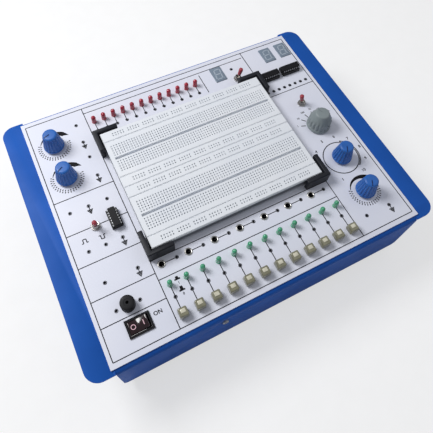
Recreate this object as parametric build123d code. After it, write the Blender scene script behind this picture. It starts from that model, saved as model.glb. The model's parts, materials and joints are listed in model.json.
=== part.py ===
"""Digital logic trainer: a steel box with a white control panel and a breadboard block.

Millimetres, +Z up. The origin lies under the middle of the top plate, on the surface that
the rubber feet stand on. +X is the user's right and -Y is the side that faces the user.
"""

import os
from math import atan2, cos, degrees, pi, sin

from build123d import *

# ---------------------------------------------------------------- case
foot_height = 8.0
foot_radius = 9.0
foot_taper = 1.5  # the foot's lower radius is smaller by this
foot_inset_x = 24.0  # foot centre from the side of the box
foot_inset_y = 26.0  # foot centre from the front or rear of the box

case_height = 61.4  # top face of the steel over the lower edge of the flaps
block_length = 170.3  # breadboard block, across the panel
side_field = 60.85  # from the end of the block to the side of the box
body_width = block_length + 2 * side_field  # width of the box under the ears
ear_width = 21.5
top_width = body_width + 2 * ear_width
top_depth = 253.0
left_side = -body_width / 2
right_side = body_width / 2
cover_sheet = 1.6
ear_corner_radius = 12.0
bend_radius = 2.4  # inside radius of the flap bends
relief_width = 1.5  # slot at the end of each bend
flap_corner_radius = 6.0
window_lip_x = 1.7  # steel left at each side of the opening under the panel board
window_lip_y = 11.5
window_width = body_width - 2 * window_lip_x
window_depth = top_depth - 2 * window_lip_y

chassis_sheet = 1.2
chassis_side_gap = 0.4  # the tray stands inside the sides of the flaps by this
lid_gap = 0.3  # between the tray and the cover
wall_drop = 3.2  # front and rear walls of the tray end this far below its sides
chassis_bend_radius = 5.6  # outside radius along the lower edges
vent_length = 34.0
vent_width = 3.0
vent_pitch = 9.0
vent_count = 6
vent_offset_x = 70.0  # centre of each vent field from the middle

screw_head_radius = 3.0
screw_head_height = 1.8
screw_radius = 1.5
screw_hole_radius = 1.7
screw_length = 8.0
screw_drop = 12.0  # screw axis under the panel's top face
front_screw_x = (-52.5,)
rear_screw_inset = 26.0
rear_screw_x = (left_side + rear_screw_inset, right_side - rear_screw_inset)

# ---------------------------------------------------------------- panel board
panel_overhang = 2.5  # board past each side of the box
panel_margin = 4.0  # steel in sight in front of the board and behind it
panel_width = body_width + 2 * panel_overhang
panel_depth = top_depth - 2 * panel_margin
front_edge = -panel_depth / 2
panel_thickness = 1.6
column_pitch = 15.0  # green lamps, their sockets and push switches
column_centre_x = 0.5
column_count = 12
green_led_inset = 40.3  # rows of the columns, from the board's front edge
column_socket_inset = 29.2
push_switch_inset = 14.1
green_led_y = front_edge + green_led_inset
column_socket_y = front_edge + column_socket_inset
push_switch_y = front_edge + push_switch_inset
red_pitch = 10.0
red_centre_x = -27.4
red_led_y = 97.8
red_socket_y = 87.0
banana_pitch = 25.0
banana_centre_x = -6.2
banana_count = 7
banana_y = -63.3
banana_socket_gap = 14.1  # small socket to the right of each banana socket
code_socket_pitch = 6.6
code_socket_inset = 29.9  # middle of the row, from the right side
code_socket_centre_x = right_side - code_socket_inset
code_socket_count = 8
code_socket_y = 56.5
probe_socket = (72.7, 101.8)
# x from the left side of the box, and y
left_sockets = (
    (46.0, 101.0), (46.0, 80.0), (46.0, 61.8), (46.0, 40.2),
    (45.3, 13.8), (28.0, 13.8), (11.0, 13.8),
    (14.2, -26.7), (29.3, -26.7), (44.6, -26.7),
    (45.8, -57.5), (17.0, -57.5), (37.4, -82.8), (17.1, -82.8),
)
# x from the right side of the box, and y
right_sockets = ((16.4, -103.2), (41.8, -103.2))

socket_hole_radius = 1.4
socket_housing_side = 3.4
socket_housing_height = 7.0

# side counts of the small round pieces
body_sides = 16
round_sides = 12
hole_sides = 8
socket_sides = 6

# ---------------------------------------------------------------- breadboard block
block_x = 1.1
block_y = 11.0
terminal_width = 40.3
bus_width = 11.2
strip_height = 9.0
groove_width = 2.6
groove_depth = 3.2
strip_chamfer = 0.7
key_width = 3.0  # dovetail key at its root
key_flare = 0.8  # growth of the key on each side
key_reach = 1.4
key_height = 5.0
key_gap = 0.1
key_spacing = 66.0
key_count = 3
end_key_spacing = 20.0
back_plate_thickness = 1.5
bracket_ledge = 1.5
bracket_wall = 4.0
bracket_height = 13.5
bracket_leg = 24.0  # outside length of each leg
bracket_shelf = 9.0  # how far the shelf reaches under the block
bracket_gap = 0.1

# ---------------------------------------------------------------- lamps, displays, circuits
led_radius = 2.4
led_height = 9.2
led_shoulder = 7.4  # height of the straight part
led_tip_radius = 1.3
display_width = 12.6
display_depth = 19.0
display_body = 8.0
display_proud = 0.8  # face over the panel
display_gap = 0.15
display_places = ((56.6, 101.1), (right_side - 27.7, 103.2), (right_side - 8.6, 103.2))

circuit_pitch = 2.54
circuit_row_gap = 7.62
circuit_body_width = 6.4
circuit_body_height = 3.0
circuit_top = 7.4  # over the panel
circuit_end_margin = 2.2  # body past the last pin
circuit_socket_width = 10.2
circuit_socket_height = 4.0
circuit_pin_width = 0.9
circuit_pin_thickness = 0.4
circuit_places = ((left_side + 44.5, -8.2), (right_side - 41.7, 74.5), (right_side - 16.8, 74.5))
circuit_pin_count = (7, 8, 8)  # on each side
circuit_angle = (90.0, 0.0, 0.0)

buzzer_inset = 27.3  # from the left side
buzzer_x = left_side + buzzer_inset
buzzer_y = -82.6
buzzer_radius = 6.1
buzzer_height = 9.0
buzzer_edge = 0.6
buzzer_port_radius = 1.2
buzzer_port_depth = 3.0

# ---------------------------------------------------------------- banana sockets
banana_flange_radius = 3.5
banana_flange_height = 1.0
banana_barrel_radius = 3.0
banana_barrel_length = 15.0
banana_bore_radius = 2.0
banana_bore_depth = 14.0
banana_hole_gap = 0.2

# ---------------------------------------------------------------- push switches
cap_side = 8.4
cap_height = 6.0
cap_lift = 2.2  # cap's lower edge over the panel
cap_draft = 4.0  # degrees
cap_corner = 0.7
cap_dish_side = 4.2
cap_dish_depth = 0.5
cap_travel = 1.8
stem_side = 4.0
stem_gap = 0.15
stem_depth = 5.0  # below the panel's top face
switch_side = 8.6
switch_height = 9.5
neck_side = 6.4
neck_height = 0.3
neck_gap = 0.15

# ---------------------------------------------------------------- toggle switches
toggle_places = ((left_side + 27.2, -7.4), (72.7, 87.0), (right_side - 28.5, 30.3))
toggle_lean_axis = ("X", "Y", "Y")
toggle_lean = (12.0, 12.0, -12.0)  # degrees at rest
toggle_body_size = (8.0, 13.0, 9.0)
bushing_radius = 3.0
bushing_height = 5.0  # over the panel
bushing_hole_gap = 0.2
toggle_nut_width = 8.0
toggle_nut_height = 1.8
pivot_height = 1.6
pivot_radius = 1.45
pivot_thickness = 1.0
pivot_seat_radius = 1.6
pivot_seat_height = 0.9  # above and below the pivot
bushing_mouth_radius = 2.3
lever_radius = 0.95
lever_top = 12.6  # along the lever, from its pivot
sleeve_radius = 2.2
sleeve_foot_radius = 1.9
sleeve_start = 5.6
sleeve_length = 8.4
sleeve_crown = 0.9  # height of the tapered tip
sleeve_crown_taper = 42.0  # degrees
sleeve_gap = 0.03

# ---------------------------------------------------------------- power switch
rocker_inset = 29.5  # from the left side
rocker_x = left_side + rocker_inset
rocker_y = -100.9
rocker_bezel_x = 21.0
rocker_bezel_y = 15.0
rocker_bezel_height = 2.0
rocker_bezel_chamfer = 0.8
rocker_body_x = 19.0
rocker_body_y = 12.8
rocker_body_depth = 13.0
rocker_cutout_gap = 0.2
rocker_opening_x = 17.2
rocker_opening_y = 10.8
rocker_floor = 2.0
rocker_length = 16.0
rocker_width = 10.2
rocker_pin_radius = 1.0
rocker_pin_gap = 0.05
rocker_pin_reach = 0.7  # past the rocker's side
rocker_pivot = -1.0  # over the panel
rocker_rise = 3.4  # middle of the rocker over its pivot
rocker_tip_rise = 5.0  # ends of the rocker over its pivot
rocker_skirt = 3.0  # below the pivot
rocker_tilt = 8.0  # degrees at rest

# ---------------------------------------------------------------- rotary controls
shaft_radius = 3.0
shaft_gap = 0.05
shaft_flat = 1.2
shaft_end_gap = 0.3
control_bushing_radius = 3.6
control_bushing_height = 5.0
control_hole_gap = 0.2
control_nut_width = 10.0
control_nut_height = 1.9
pot_radius = 8.2
pot_depth = 10.0
rotary_radius = 12.5
rotary_depth = 15.0
shaft_depth = 7.0  # below the panel's top face
knob_places = {
    "coarse_volt": (left_side + 20.2, 86.3),
    "fine_volt": (left_side + 20.2, 48.6),
    "frequency": (right_side - 28.0, -41.6),
    "amplitude": (right_side - 28.4, -81.4),
}
# pointer directions at rest, from +X
knob_angles = {"coarse_volt": 198.0, "fine_volt": 214.0, "frequency": 240.0, "amplitude": 240.0}
selector_place = (right_side - 27.4, 0.4)
selector_angle = 108.0

knob_lift = 2.4  # knob's lower face over the panel
knob_height = 18.9
knob_base_radius = 9.6
knob_top_radius = 6.9
knob_crown_radius = 5.6
knob_crown_height = 1.0
knob_flutes = 16
knob_flute_depth = 0.5
knob_pointer_width = 1.2
knob_pointer_depth = 0.6
knob_hollow_radius = 6.6
knob_hollow_depth = 4.0
knob_bore_depth = 15.0
shaft_reach = knob_bore_depth - shaft_end_gap  # from a knob's foot to its shaft's top

selector_lift = 1.2
selector_skirt_radius = 12.0
selector_skirt_height = 3.0
selector_body_radius = 11.4
selector_shoulder = 10.8  # height of the straight part
selector_top_radius = 6.8
selector_height = 19.6
selector_flutes = 16
selector_flute_depth = 0.5
selector_hollow_radius = 7.2
selector_hollow_depth = 4.8
selector_pointer_width = 1.4
set_screw_radius = 1.1
set_screw_depth = 2.0
set_screw_height = 7.5

# ---------------------------------------------------------------- rear and inside
inlet_x = -60.0
inlet_z = 38.0
inlet_flange_width = 50.0
inlet_flange_height = 24.0
inlet_flange_thickness = 2.6
inlet_flange_radius = 3.0
inlet_body_width = 28.0
inlet_body_height = 20.4
inlet_body_depth = 18.0
inlet_cavity_width = 24.0
inlet_cavity_height = 16.4
inlet_cavity_depth = 15.0
inlet_cavity_corner = 4.0
inlet_pin = (2.0, 4.0, 9.0)  # width, height, length
inlet_pin_spacing = 7.0
inlet_earth_rise = 4.0
inlet_screw_spacing = 40.0
inlet_cutout_gap = 0.3

core_size = (62.0, 34.0, 52.0)
core_centre = (-92.0, 20.0)
coil_size = (40.0, 54.0, 30.0)
core_foot_reach = 12.0  # past each side of the core
coil_corner = 4.0
core_foot_height = 3.0

supply_board_size = (110.0, 80.0, 1.6)
supply_board_centre = (40.0, 30.0)
standoff_height = 8.0
standoff_width = 6.0
standoff_inset = 6.0
capacitor_radius = 9.0
capacitor_height = 26.0
capacitor_places = ((5.0, 45.0), (30.0, 45.0))
sink_size = (60.0, 12.0, 25.0)
sink_centre = (50.0, 5.0)
sink_fin_count = 8
sink_fin_depth = 9.0
sink_fin_gap = 4.0

# ---------------------------------------------------------------- heights worked out from the above
steel_top = foot_height + case_height
steel_under = steel_top - cover_sheet
panel_top = steel_top + panel_thickness
screw_z = panel_top - screw_drop
tray_depth = top_depth - 2 * (cover_sheet + lid_gap)
tray_width = body_width - 2 * chassis_side_gap
tray_floor = foot_height + chassis_sheet
block_floor = panel_top + bracket_ledge + back_plate_thickness
block_depth = 2 * terminal_width + 4 * bus_width


def block(width, depth, height, x=0.0, y=0.0, z=0.0):
    """A box centred on x, y that stands on z."""
    return Pos(x, y, z + height / 2) * Box(width, depth, height)


def prism(radius, sides, height, x=0.0, y=0.0, z=0.0, flats=False):
    """An upright prism whose radius goes to its corners, or to its flats."""
    outline = RegularPolygon(radius, sides, major_radius=not flats)
    return Pos(x, y, z) * extrude(outline, height)


def cross_prism(radius, sides, length, x, y, z, flats=False):
    """The same prism lying along Y, centred on x, y, z."""
    outline = RegularPolygon(radius, sides, major_radius=not flats)
    return Pos(x, y, z) * Rot(90, 0, 0) * extrude(outline, length / 2, both=True)


def frustum(lower, upper, sides, height, z=0.0):
    """An upright tapered prism from its lower to its upper corner radius."""
    lean = (lower - upper) * cos(pi / sides)
    outline = RegularPolygon(lower, sides)
    return Pos(0, 0, z) * extrude(outline, height, taper=degrees(atan2(lean, height)))


def hex_nut(width, height, hole_radius, x, y, z):
    """A hexagon nut, measured across its flats."""
    nut = prism(width / 2, 6, height, x, y, z, flats=True)
    return nut - prism(hole_radius, round_sides, height, x, y, z, flats=True)


def spread(count, step, centre=0.0):
    """Evenly spaced places about a centre."""
    return [centre + step * (i - (count - 1) / 2) for i in range(count)]


def round_row(y, xs):
    """Points of one row across the panel."""
    return [(x, y) for x in xs]


def column_xs():
    """Centres of the twelve input columns."""
    return spread(column_count, column_pitch, column_centre_x)


def red_xs():
    """Centres of the twelve red lamps."""
    return spread(column_count, red_pitch, red_centre_x)


def banana_xs():
    """Centres of the banana sockets."""
    return spread(banana_count, banana_pitch, banana_centre_x)


def socket_points():
    """Centres of all the small wiring sockets."""
    points = [(left_side + x, y) for x, y in left_sockets]
    points += [(right_side - x, y) for x, y in right_sockets]
    points.append(probe_socket)
    points += round_row(column_socket_y, column_xs())
    points += round_row(red_socket_y, red_xs())
    points += round_row(banana_y, [x + banana_socket_gap for x in banana_xs()])
    code_xs = spread(code_socket_count, code_socket_pitch, code_socket_centre_x)
    return points + round_row(code_socket_y, code_xs)


# ================================================================ case
def flap_screw_points():
    """Places of the flap screws: x and the side they enter from."""
    return [(x, -1) for x in front_screw_x] + [(x, 1) for x in rear_screw_x]


def inlet_cutout(thickness, y):
    """Tool for the inlet's opening and screw holes in a rear wall."""
    width = inlet_body_width + 2 * inlet_cutout_gap
    height = inlet_body_height + 2 * inlet_cutout_gap
    tool = Pos(inlet_x, y, inlet_z) * Box(width, thickness, height)
    for x in spread(2, inlet_screw_spacing, inlet_x):
        tool += cross_prism(screw_hole_radius, hole_sides, thickness, x, y, inlet_z, flats=True)
    return tool


def make_cover():
    """Top plate with ears and the two bent flaps, in one piece of sheet steel."""
    outer = Pos(0, case_height / 2) * Rectangle(top_depth, case_height)
    outer = fillet(outer.vertices().group_by(Axis.Y)[-1], bend_radius + cover_sheet)
    inner_height = case_height - cover_sheet
    inner = Pos(0, inner_height / 2) * Rectangle(top_depth - 2 * cover_sheet, inner_height)
    inner = fillet(inner.vertices().group_by(Axis.Y)[-1], bend_radius)
    section = Plane.YZ * (outer - inner)
    shell = Pos(0, 0, foot_height) * extrude(section, body_width / 2, both=True)
    lower = shell.edges().filter_by(Axis.Y).group_by(Axis.Z)[0]
    shell = fillet(lower, flap_corner_radius)

    plate = RectangleRounded(top_width, top_depth, ear_corner_radius)
    plate -= Rectangle(body_width, top_depth)
    ears = Pos(0, 0, steel_under) * extrude(plate, cover_sheet)
    cover = shell + ears

    relief_depth = 2 * (bend_radius + cover_sheet)
    for side_x in (-1, 1):
        for side_y in (-1, 1):
            x = side_x * (body_width + relief_width) / 2
            cover -= block(relief_width, relief_depth, cover_sheet, x, side_y * top_depth / 2, steel_under)
    cover -= block(window_width, window_depth, cover_sheet, z=steel_under)

    for x, side in flap_screw_points():
        y = side * (top_depth - cover_sheet) / 2
        cover -= cross_prism(screw_hole_radius, hole_sides, cover_sheet, x, y, screw_z, flats=True)
    cover -= inlet_cutout(cover_sheet, (top_depth - cover_sheet) / 2)
    return cover


def make_chassis():
    """Open tray that carries everything inside and closes the sides."""
    height = case_height - cover_sheet - lid_gap
    outline = Pos(0, height / 2) * Rectangle(tray_width, height)
    outline = fillet(outline.vertices().group_by(Axis.Y)[0], chassis_bend_radius)
    hollow = Pos(0, chassis_sheet + height / 2) * Rectangle(tray_width - 2 * chassis_sheet, height)
    hollow = fillet(hollow.vertices().group_by(Axis.Y)[0], chassis_bend_radius - chassis_sheet)
    tray = extrude(Plane.XZ * outline, tray_depth / 2, both=True)
    tray -= extrude(Plane.XZ * hollow, tray_depth / 2 - chassis_sheet, both=True)
    tray = Pos(0, 0, foot_height) * tray
    tray -= block(tray_width - 2 * chassis_sheet, tray_depth, wall_drop, z=foot_height + height - wall_drop)

    for side in (-1, 1):
        for y in spread(vent_count, vent_pitch):
            tray -= block(vent_length, vent_width, chassis_sheet, side * vent_offset_x, y, foot_height)
    for x, side in flap_screw_points():
        y = side * (tray_depth - chassis_sheet) / 2
        tray -= cross_prism(screw_radius, hole_sides, chassis_sheet, x, y, screw_z, flats=True)
    tray -= inlet_cutout(chassis_sheet, (tray_depth - chassis_sheet) / 2)
    return tray


def make_feet():
    """Four tapered rubber feet."""
    foot = frustum(foot_radius - foot_taper, foot_radius, body_sides, foot_height)
    xs = spread(2, tray_width - 2 * foot_inset_x)
    ys = spread(2, tray_depth - 2 * foot_inset_y)
    return [Pos(x, y, 0) * foot for x in xs for y in ys]


def make_screw(x, z, face, side):
    """Cheese-head screw that enters a wall along Y, with its head on the given face."""
    y = face + side * screw_head_height / 2
    head = cross_prism(screw_head_radius, round_sides, screw_head_height, x, y, z)
    y = face - side * screw_length / 2
    return head + cross_prism(screw_radius, hole_sides, screw_length, x, y, z)


def make_case_screws():
    """Screws of the front and rear flaps."""
    return [make_screw(x, screw_z, side * top_depth / 2, side) for x, side in flap_screw_points()]


# ================================================================ panel board
def panel_hole(x, y, radius, sides=hole_sides):
    """Outline of one round hole in the panel board."""
    return Pos(x, y) * RegularPolygon(radius, sides, major_radius=False)


def panel_slot(x, y, width, depth, gap):
    """Outline of one square hole in the panel board, with a gap all round."""
    return Pos(x, y) * Rectangle(width + 2 * gap, depth + 2 * gap)


def make_panel_board():
    """Printed board over the steel window, with every hole that a control passes through."""
    board = Rectangle(panel_width, panel_depth)
    for x, y in socket_points():
        board -= panel_hole(x, y, socket_hole_radius, socket_sides)
    for x in banana_xs():
        board -= panel_hole(x, banana_y, banana_barrel_radius + banana_hole_gap)
    for x, y in control_places():
        board -= panel_hole(x, y, control_bushing_radius + control_hole_gap)
    for x, y in toggle_places:
        board -= panel_hole(x, y, bushing_radius + bushing_hole_gap)
    for x, y in display_places:
        board -= panel_slot(x, y, display_width, display_depth, display_gap)
    for x in column_xs():
        board -= panel_slot(x, push_switch_y, neck_side, neck_side, neck_gap)
    board -= panel_slot(rocker_x, rocker_y, rocker_body_x, rocker_body_y, rocker_cutout_gap)
    return Pos(0, 0, steel_top) * extrude(board, panel_thickness)


def make_mini_sockets():
    """Housings of the small wiring sockets, under the panel board."""
    side = socket_housing_side
    z = steel_top - socket_housing_height
    return [block(side, side, socket_housing_height, x, y, z) for x, y in socket_points()]


def make_banana_sockets():
    """Flanged barrels with a blind bore."""
    base = panel_top - banana_barrel_length
    barrel = prism(banana_barrel_radius, hole_sides, banana_barrel_length, z=base)
    flange = prism(banana_flange_radius, round_sides, banana_flange_height, z=panel_top)
    top = panel_top + banana_flange_height
    bore = prism(banana_bore_radius, hole_sides, banana_bore_depth, z=top - banana_bore_depth)
    socket = barrel + flange - bore
    return [Pos(x, banana_y, 0) * socket for x in banana_xs()]


# ================================================================ breadboard block
def key_outline(grow=0.0):
    """Dovetail key that points along +Y from the origin."""
    root = key_width / 2 + grow
    tip = root + key_flare
    reach = key_reach + grow
    return make_face(Polyline((-root, 0), (root, 0), (tip, reach), (-tip, reach), close=True))


def make_strip(width, x, y, grooved):
    """One strip of the block, with keys at its rear and left and slots at its front and right."""
    section = Rectangle(width, strip_height)
    section = chamfer(section.vertices().group_by(Axis.Y)[-1], strip_chamfer)
    strip = extrude(Plane.YZ * section, block_length / 2, both=True)
    if grooved:
        z = strip_height / 2 - groove_depth
        strip -= block(block_length, groove_width, groove_depth, z=z)
    key = extrude(key_outline(), key_height)
    slot = extrude(key_outline(key_gap), key_height + key_gap)
    z = -strip_height / 2
    for key_x in spread(key_count, key_spacing):
        strip += Pos(key_x, width / 2, z) * key
        strip -= Pos(key_x, -width / 2, z) * slot
    end_keys = 2 if grooved else 1
    for key_y in spread(end_keys, end_key_spacing):
        strip += Pos(-block_length / 2, key_y, z) * Rot(0, 0, 90) * key
        strip -= Pos(block_length / 2, key_y, z) * Rot(0, 0, 90) * slot
    return Pos(x, y, block_floor + strip_height / 2) * strip


def strip_rows():
    """Centre and width of each strip from the rear: bus, terminal, bus, bus, terminal, bus."""
    rows = []
    y = block_y + block_depth / 2
    for width in (bus_width, terminal_width, bus_width) * 2:
        rows.append((y - width / 2, width))
        y -= width
    return rows


def make_terminal_strips():
    """The two wide strips with a middle groove."""
    return [make_strip(w, block_x, y, True) for y, w in strip_rows() if w == terminal_width]


def make_bus_strips():
    """The four narrow supply strips."""
    return [make_strip(w, block_x, y, False) for y, w in strip_rows() if w == bus_width]


def make_back_plate():
    """Aluminium plate under the strips."""
    z = panel_top + bracket_ledge
    return block(block_length, block_depth, back_plate_thickness, block_x, block_y, z)


def make_bracket():
    """Corner bracket for the corner at +X, +Y: an L-shaped wall with a shelf in it."""
    leg = bracket_leg
    wall = Pos(-leg / 2, -leg / 2) * Rectangle(leg, leg)
    inside = leg - bracket_wall
    wall -= Pos(-bracket_wall - inside / 2, -bracket_wall - inside / 2) * Rectangle(inside, inside)
    bracket = extrude(wall, bracket_height)
    bracket = chamfer(bracket.edges().group_by(Axis.Z)[-1].filter_by(Axis.X).group_by(Axis.Y)[-1], 0.8)
    shelf_side = bracket_wall + bracket_shelf
    shelf = block(shelf_side, shelf_side, bracket_ledge, -shelf_side / 2, -shelf_side / 2)
    return bracket + shelf


def make_brackets():
    """Four corner brackets, mirrored about the middle of the block."""
    bracket = make_bracket()
    half_x = block_length / 2 + key_reach + bracket_gap + bracket_wall
    half_y = block_depth / 2 + key_reach + bracket_gap + bracket_wall
    corners = []
    for side_x in (1, -1):
        for side_y in (1, -1):
            piece = bracket if side_x > 0 else mirror(bracket, Plane.YZ)
            piece = piece if side_y > 0 else mirror(piece, Plane.XZ)
            place = Pos(block_x + side_x * half_x, block_y + side_y * half_y, panel_top)
            corners.append(place * piece)
    return corners


# ================================================================ lamps, displays, circuits
def make_leds(xs, y):
    """A row of domed lamps that stand on the panel."""
    led = prism(led_radius, hole_sides, led_shoulder)
    led += frustum(led_radius, led_tip_radius, hole_sides, led_height - led_shoulder, led_shoulder)
    return [Pos(x, y, panel_top) * led for x in xs]


def make_displays():
    """Seven-segment displays, set into the panel board."""
    z = panel_top + display_proud - display_body
    return [block(display_width, display_depth, display_body, x, y, z) for x, y in display_places]


def circuit_place(x, y, turn):
    """Location of one integrated circuit on the panel."""
    return Pos(x, y, panel_top) * Rot(0, 0, turn)


def make_circuit(pins):
    """Moulded body with a notch, then its pins, which stand on the socket."""
    length = (pins - 1) * circuit_pitch + 2 * circuit_end_margin
    base = circuit_top - circuit_body_height
    body = block(length, circuit_body_width, circuit_body_height, z=base)
    notch = circuit_body_height / 4
    body -= block(circuit_pitch / 2, circuit_pitch / 2, notch, -length / 2, 0, circuit_top - notch)
    reach = (circuit_row_gap + circuit_pin_thickness - circuit_body_width) / 2
    pin_height = base + circuit_body_height / 2 - circuit_socket_height
    solids = [body]
    for side in (-1, 1):
        y = side * (circuit_body_width + reach) / 2
        for x in spread(pins, circuit_pitch):
            solids.append(block(circuit_pin_width, reach, pin_height, x, y, circuit_socket_height))
    return solids


def make_circuit_socket(pins):
    """Socket frame: two rails joined by cross bars."""
    length = pins * circuit_pitch
    frame = block(length, circuit_socket_width, circuit_socket_height)
    bay = circuit_row_gap - circuit_pitch
    bar = circuit_pitch
    frame -= block(length - 2 * bar, bay, circuit_socket_height)
    return frame


def make_circuits():
    """The three integrated circuits."""
    solids = []
    for place, pins, angle in zip(circuit_places, circuit_pin_count, circuit_angle):
        solids += [circuit_place(*place, angle) * solid for solid in make_circuit(pins)]
    return solids


def make_circuit_sockets():
    """The three circuit sockets on the panel."""
    sockets = []
    for place, pins, angle in zip(circuit_places, circuit_pin_count, circuit_angle):
        sockets.append(circuit_place(*place, angle) * make_circuit_socket(pins))
    return sockets


def make_buzzer():
    """Round buzzer with a bevelled edge and a sound port."""
    straight = buzzer_height - buzzer_edge
    body = prism(buzzer_radius, body_sides, straight)
    body += frustum(buzzer_radius, buzzer_radius - buzzer_edge, body_sides, buzzer_edge, straight)
    body -= prism(buzzer_port_radius, hole_sides, buzzer_port_depth, z=buzzer_height - buzzer_port_depth)
    return Pos(buzzer_x, buzzer_y, panel_top) * body


# ================================================================ switches
def make_push_housings():
    """Housings of the push switches: a body under the board and a neck through it."""
    body = block(switch_side, switch_side, switch_height, z=steel_top - switch_height)
    neck = block(neck_side, neck_side, panel_thickness + neck_height, z=steel_top)
    well_side = stem_side + 2 * stem_gap
    well_depth = stem_depth + cap_travel + stem_gap
    well = block(well_side, well_side, well_depth + neck_height, z=panel_top - well_depth)
    housing = body + neck - well
    return [Pos(x, push_switch_y, 0) * housing for x in column_xs()]


def make_push_cap(x):
    """Tapered square cap with a dished top, and its stem."""
    outline = chamfer(Rectangle(cap_side, cap_side).vertices(), cap_corner)
    cap = extrude(outline, cap_height, taper=cap_draft)
    dish = Pos(0, 0, cap_height - cap_dish_depth / 2) * Box(cap_dish_side, cap_dish_side, cap_dish_depth)
    stem_length = stem_depth + cap_lift
    cap = cap - dish + block(stem_side, stem_side, stem_length, z=-stem_length)
    return Pos(x, push_switch_y, panel_top + cap_lift) * cap


def make_toggle_bodies():
    """Toggle switch bodies with their threaded bushings."""
    width, length, height = toggle_body_size
    bushing = prism(bushing_radius, round_sides, panel_thickness + bushing_height, z=steel_top)
    seat_z = panel_top + pivot_height - pivot_seat_height
    bushing -= prism(pivot_seat_radius, round_sides, 2 * pivot_seat_height, z=seat_z, flats=True)
    mouth_z = seat_z + 2 * pivot_seat_height
    mouth_height = panel_top + bushing_height - mouth_z
    bushing -= prism(bushing_mouth_radius, round_sides, mouth_height, z=mouth_z, flats=True)
    bodies = []
    for (x, y), axis in zip(toggle_places, toggle_lean_axis):
        size = (width, length) if axis == "X" else (length, width)
        body = block(*size, height, z=steel_top - height)
        bodies.append(Pos(x, y, 0) * (body + bushing))
    return bodies


def make_toggle_nuts():
    """Hexagon nuts that hold the toggle bushings."""
    return [
        hex_nut(toggle_nut_width, toggle_nut_height, bushing_radius, x, y, panel_top)
        for x, y in toggle_places
    ]


def lever_place(index):
    """Location of a toggle's pivot, leaning as at rest."""
    x, y = toggle_places[index]
    lean = toggle_lean[index]
    turn = Rot(lean, 0, 0) if toggle_lean_axis[index] == "X" else Rot(0, lean, 0)
    return Pos(x, y, panel_top + pivot_height) * turn


def make_toggle_lever(index):
    """Pivot and bat of a toggle lever."""
    pivot = prism(pivot_radius, round_sides, pivot_thickness, z=-pivot_thickness / 2)
    return lever_place(index) * (pivot + prism(lever_radius, hole_sides, lever_top))


def make_toggle_sleeve(index):
    """Red sleeve pushed over the bat."""
    straight = sleeve_length - sleeve_crown
    crown_radius = sleeve_radius - sleeve_crown * sin(sleeve_crown_taper * pi / 180)
    sleeve = frustum(sleeve_foot_radius, sleeve_radius, round_sides, straight, sleeve_start)
    sleeve += frustum(sleeve_radius, crown_radius, round_sides, sleeve_crown, sleeve_start + straight)
    hole_length = lever_top + sleeve_gap - sleeve_start
    hole = prism(lever_radius + sleeve_gap, hole_sides, hole_length, z=sleeve_start, flats=True)
    return lever_place(index) * (sleeve - hole)


def make_rocker_frame():
    """Bezel and hollow body of the power switch."""
    bezel = block(rocker_bezel_x, rocker_bezel_y, rocker_bezel_height, z=panel_top)
    bezel = chamfer(bezel.edges().group_by(Axis.Z)[-1], rocker_bezel_chamfer)
    body = block(rocker_body_x, rocker_body_y, rocker_body_depth, z=panel_top - rocker_body_depth)
    frame = bezel + body
    depth = rocker_body_depth - rocker_floor
    height = depth + rocker_bezel_height
    frame -= block(rocker_opening_x, rocker_opening_y, height, z=panel_top - depth)
    hole_radius = rocker_pin_radius + rocker_pin_gap
    z = panel_top + rocker_pivot
    frame -= cross_prism(hole_radius, round_sides, rocker_body_y, 0, 0, z, flats=True)
    return Pos(rocker_x, rocker_y, 0) * frame


def make_rocker():
    """Rocker with a shallow V top and side pins, resting with its left end down."""
    half = rocker_length / 2
    outline = Polyline(
        (-half, -rocker_skirt / 2), (-half, rocker_tip_rise), (0, rocker_rise),
        (half, rocker_tip_rise), (half, -rocker_skirt / 2),
        (half / 2, -rocker_skirt), (-half / 2, -rocker_skirt), close=True,
    )
    rocker = extrude(Plane.XZ * make_face(outline), rocker_width / 2, both=True)
    rocker += cross_prism(rocker_pin_radius, round_sides, rocker_width + 2 * rocker_pin_reach, 0, 0, 0)
    return Pos(rocker_x, rocker_y, panel_top + rocker_pivot) * Rot(0, -rocker_tilt, 0) * rocker


# ================================================================ rotary controls
def control_places():
    """Centres of the five rotary controls."""
    return list(knob_places.values()) + [selector_place]


def make_control(radius, depth):
    """Body and bushing of a rotary control, with a bore for its shaft."""
    body = prism(radius, body_sides, depth, z=steel_top - depth)
    height = panel_thickness + control_bushing_height
    body += prism(control_bushing_radius, round_sides, height, z=steel_top)
    bore_depth = shaft_depth + shaft_end_gap
    bore_height = bore_depth + control_bushing_height
    bore = prism(shaft_radius + shaft_gap, round_sides, bore_height, z=panel_top - bore_depth, flats=True)
    return body - bore


def make_potentiometers():
    """The four potentiometers under the blue knobs."""
    control = make_control(pot_radius, pot_depth)
    return [Pos(x, y, 0) * control for x, y in knob_places.values()]


def make_rotary_switch():
    """The wafer switch under the selector knob."""
    x, y = selector_place
    return Pos(x, y, 0) * make_control(rotary_radius, rotary_depth)


def make_control_nuts():
    """Hexagon nuts on the control bushings."""
    return [
        hex_nut(control_nut_width, control_nut_height, control_bushing_radius, x, y, panel_top)
        for x, y in control_places()
    ]


def make_shaft(place, angle, top):
    """Control shaft with a flat on its upper part."""
    x, y = place
    length = shaft_depth + top
    shaft = prism(shaft_radius, body_sides, length, z=-shaft_depth)
    flat_height = top - control_bushing_height - 0.5
    flat_y = shaft_radius - shaft_flat / 2
    flat = block(2 * shaft_radius, shaft_flat, flat_height, 0, flat_y, top - flat_height)
    return Pos(x, y, panel_top) * Rot(0, 0, angle) * (shaft - flat)


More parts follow.
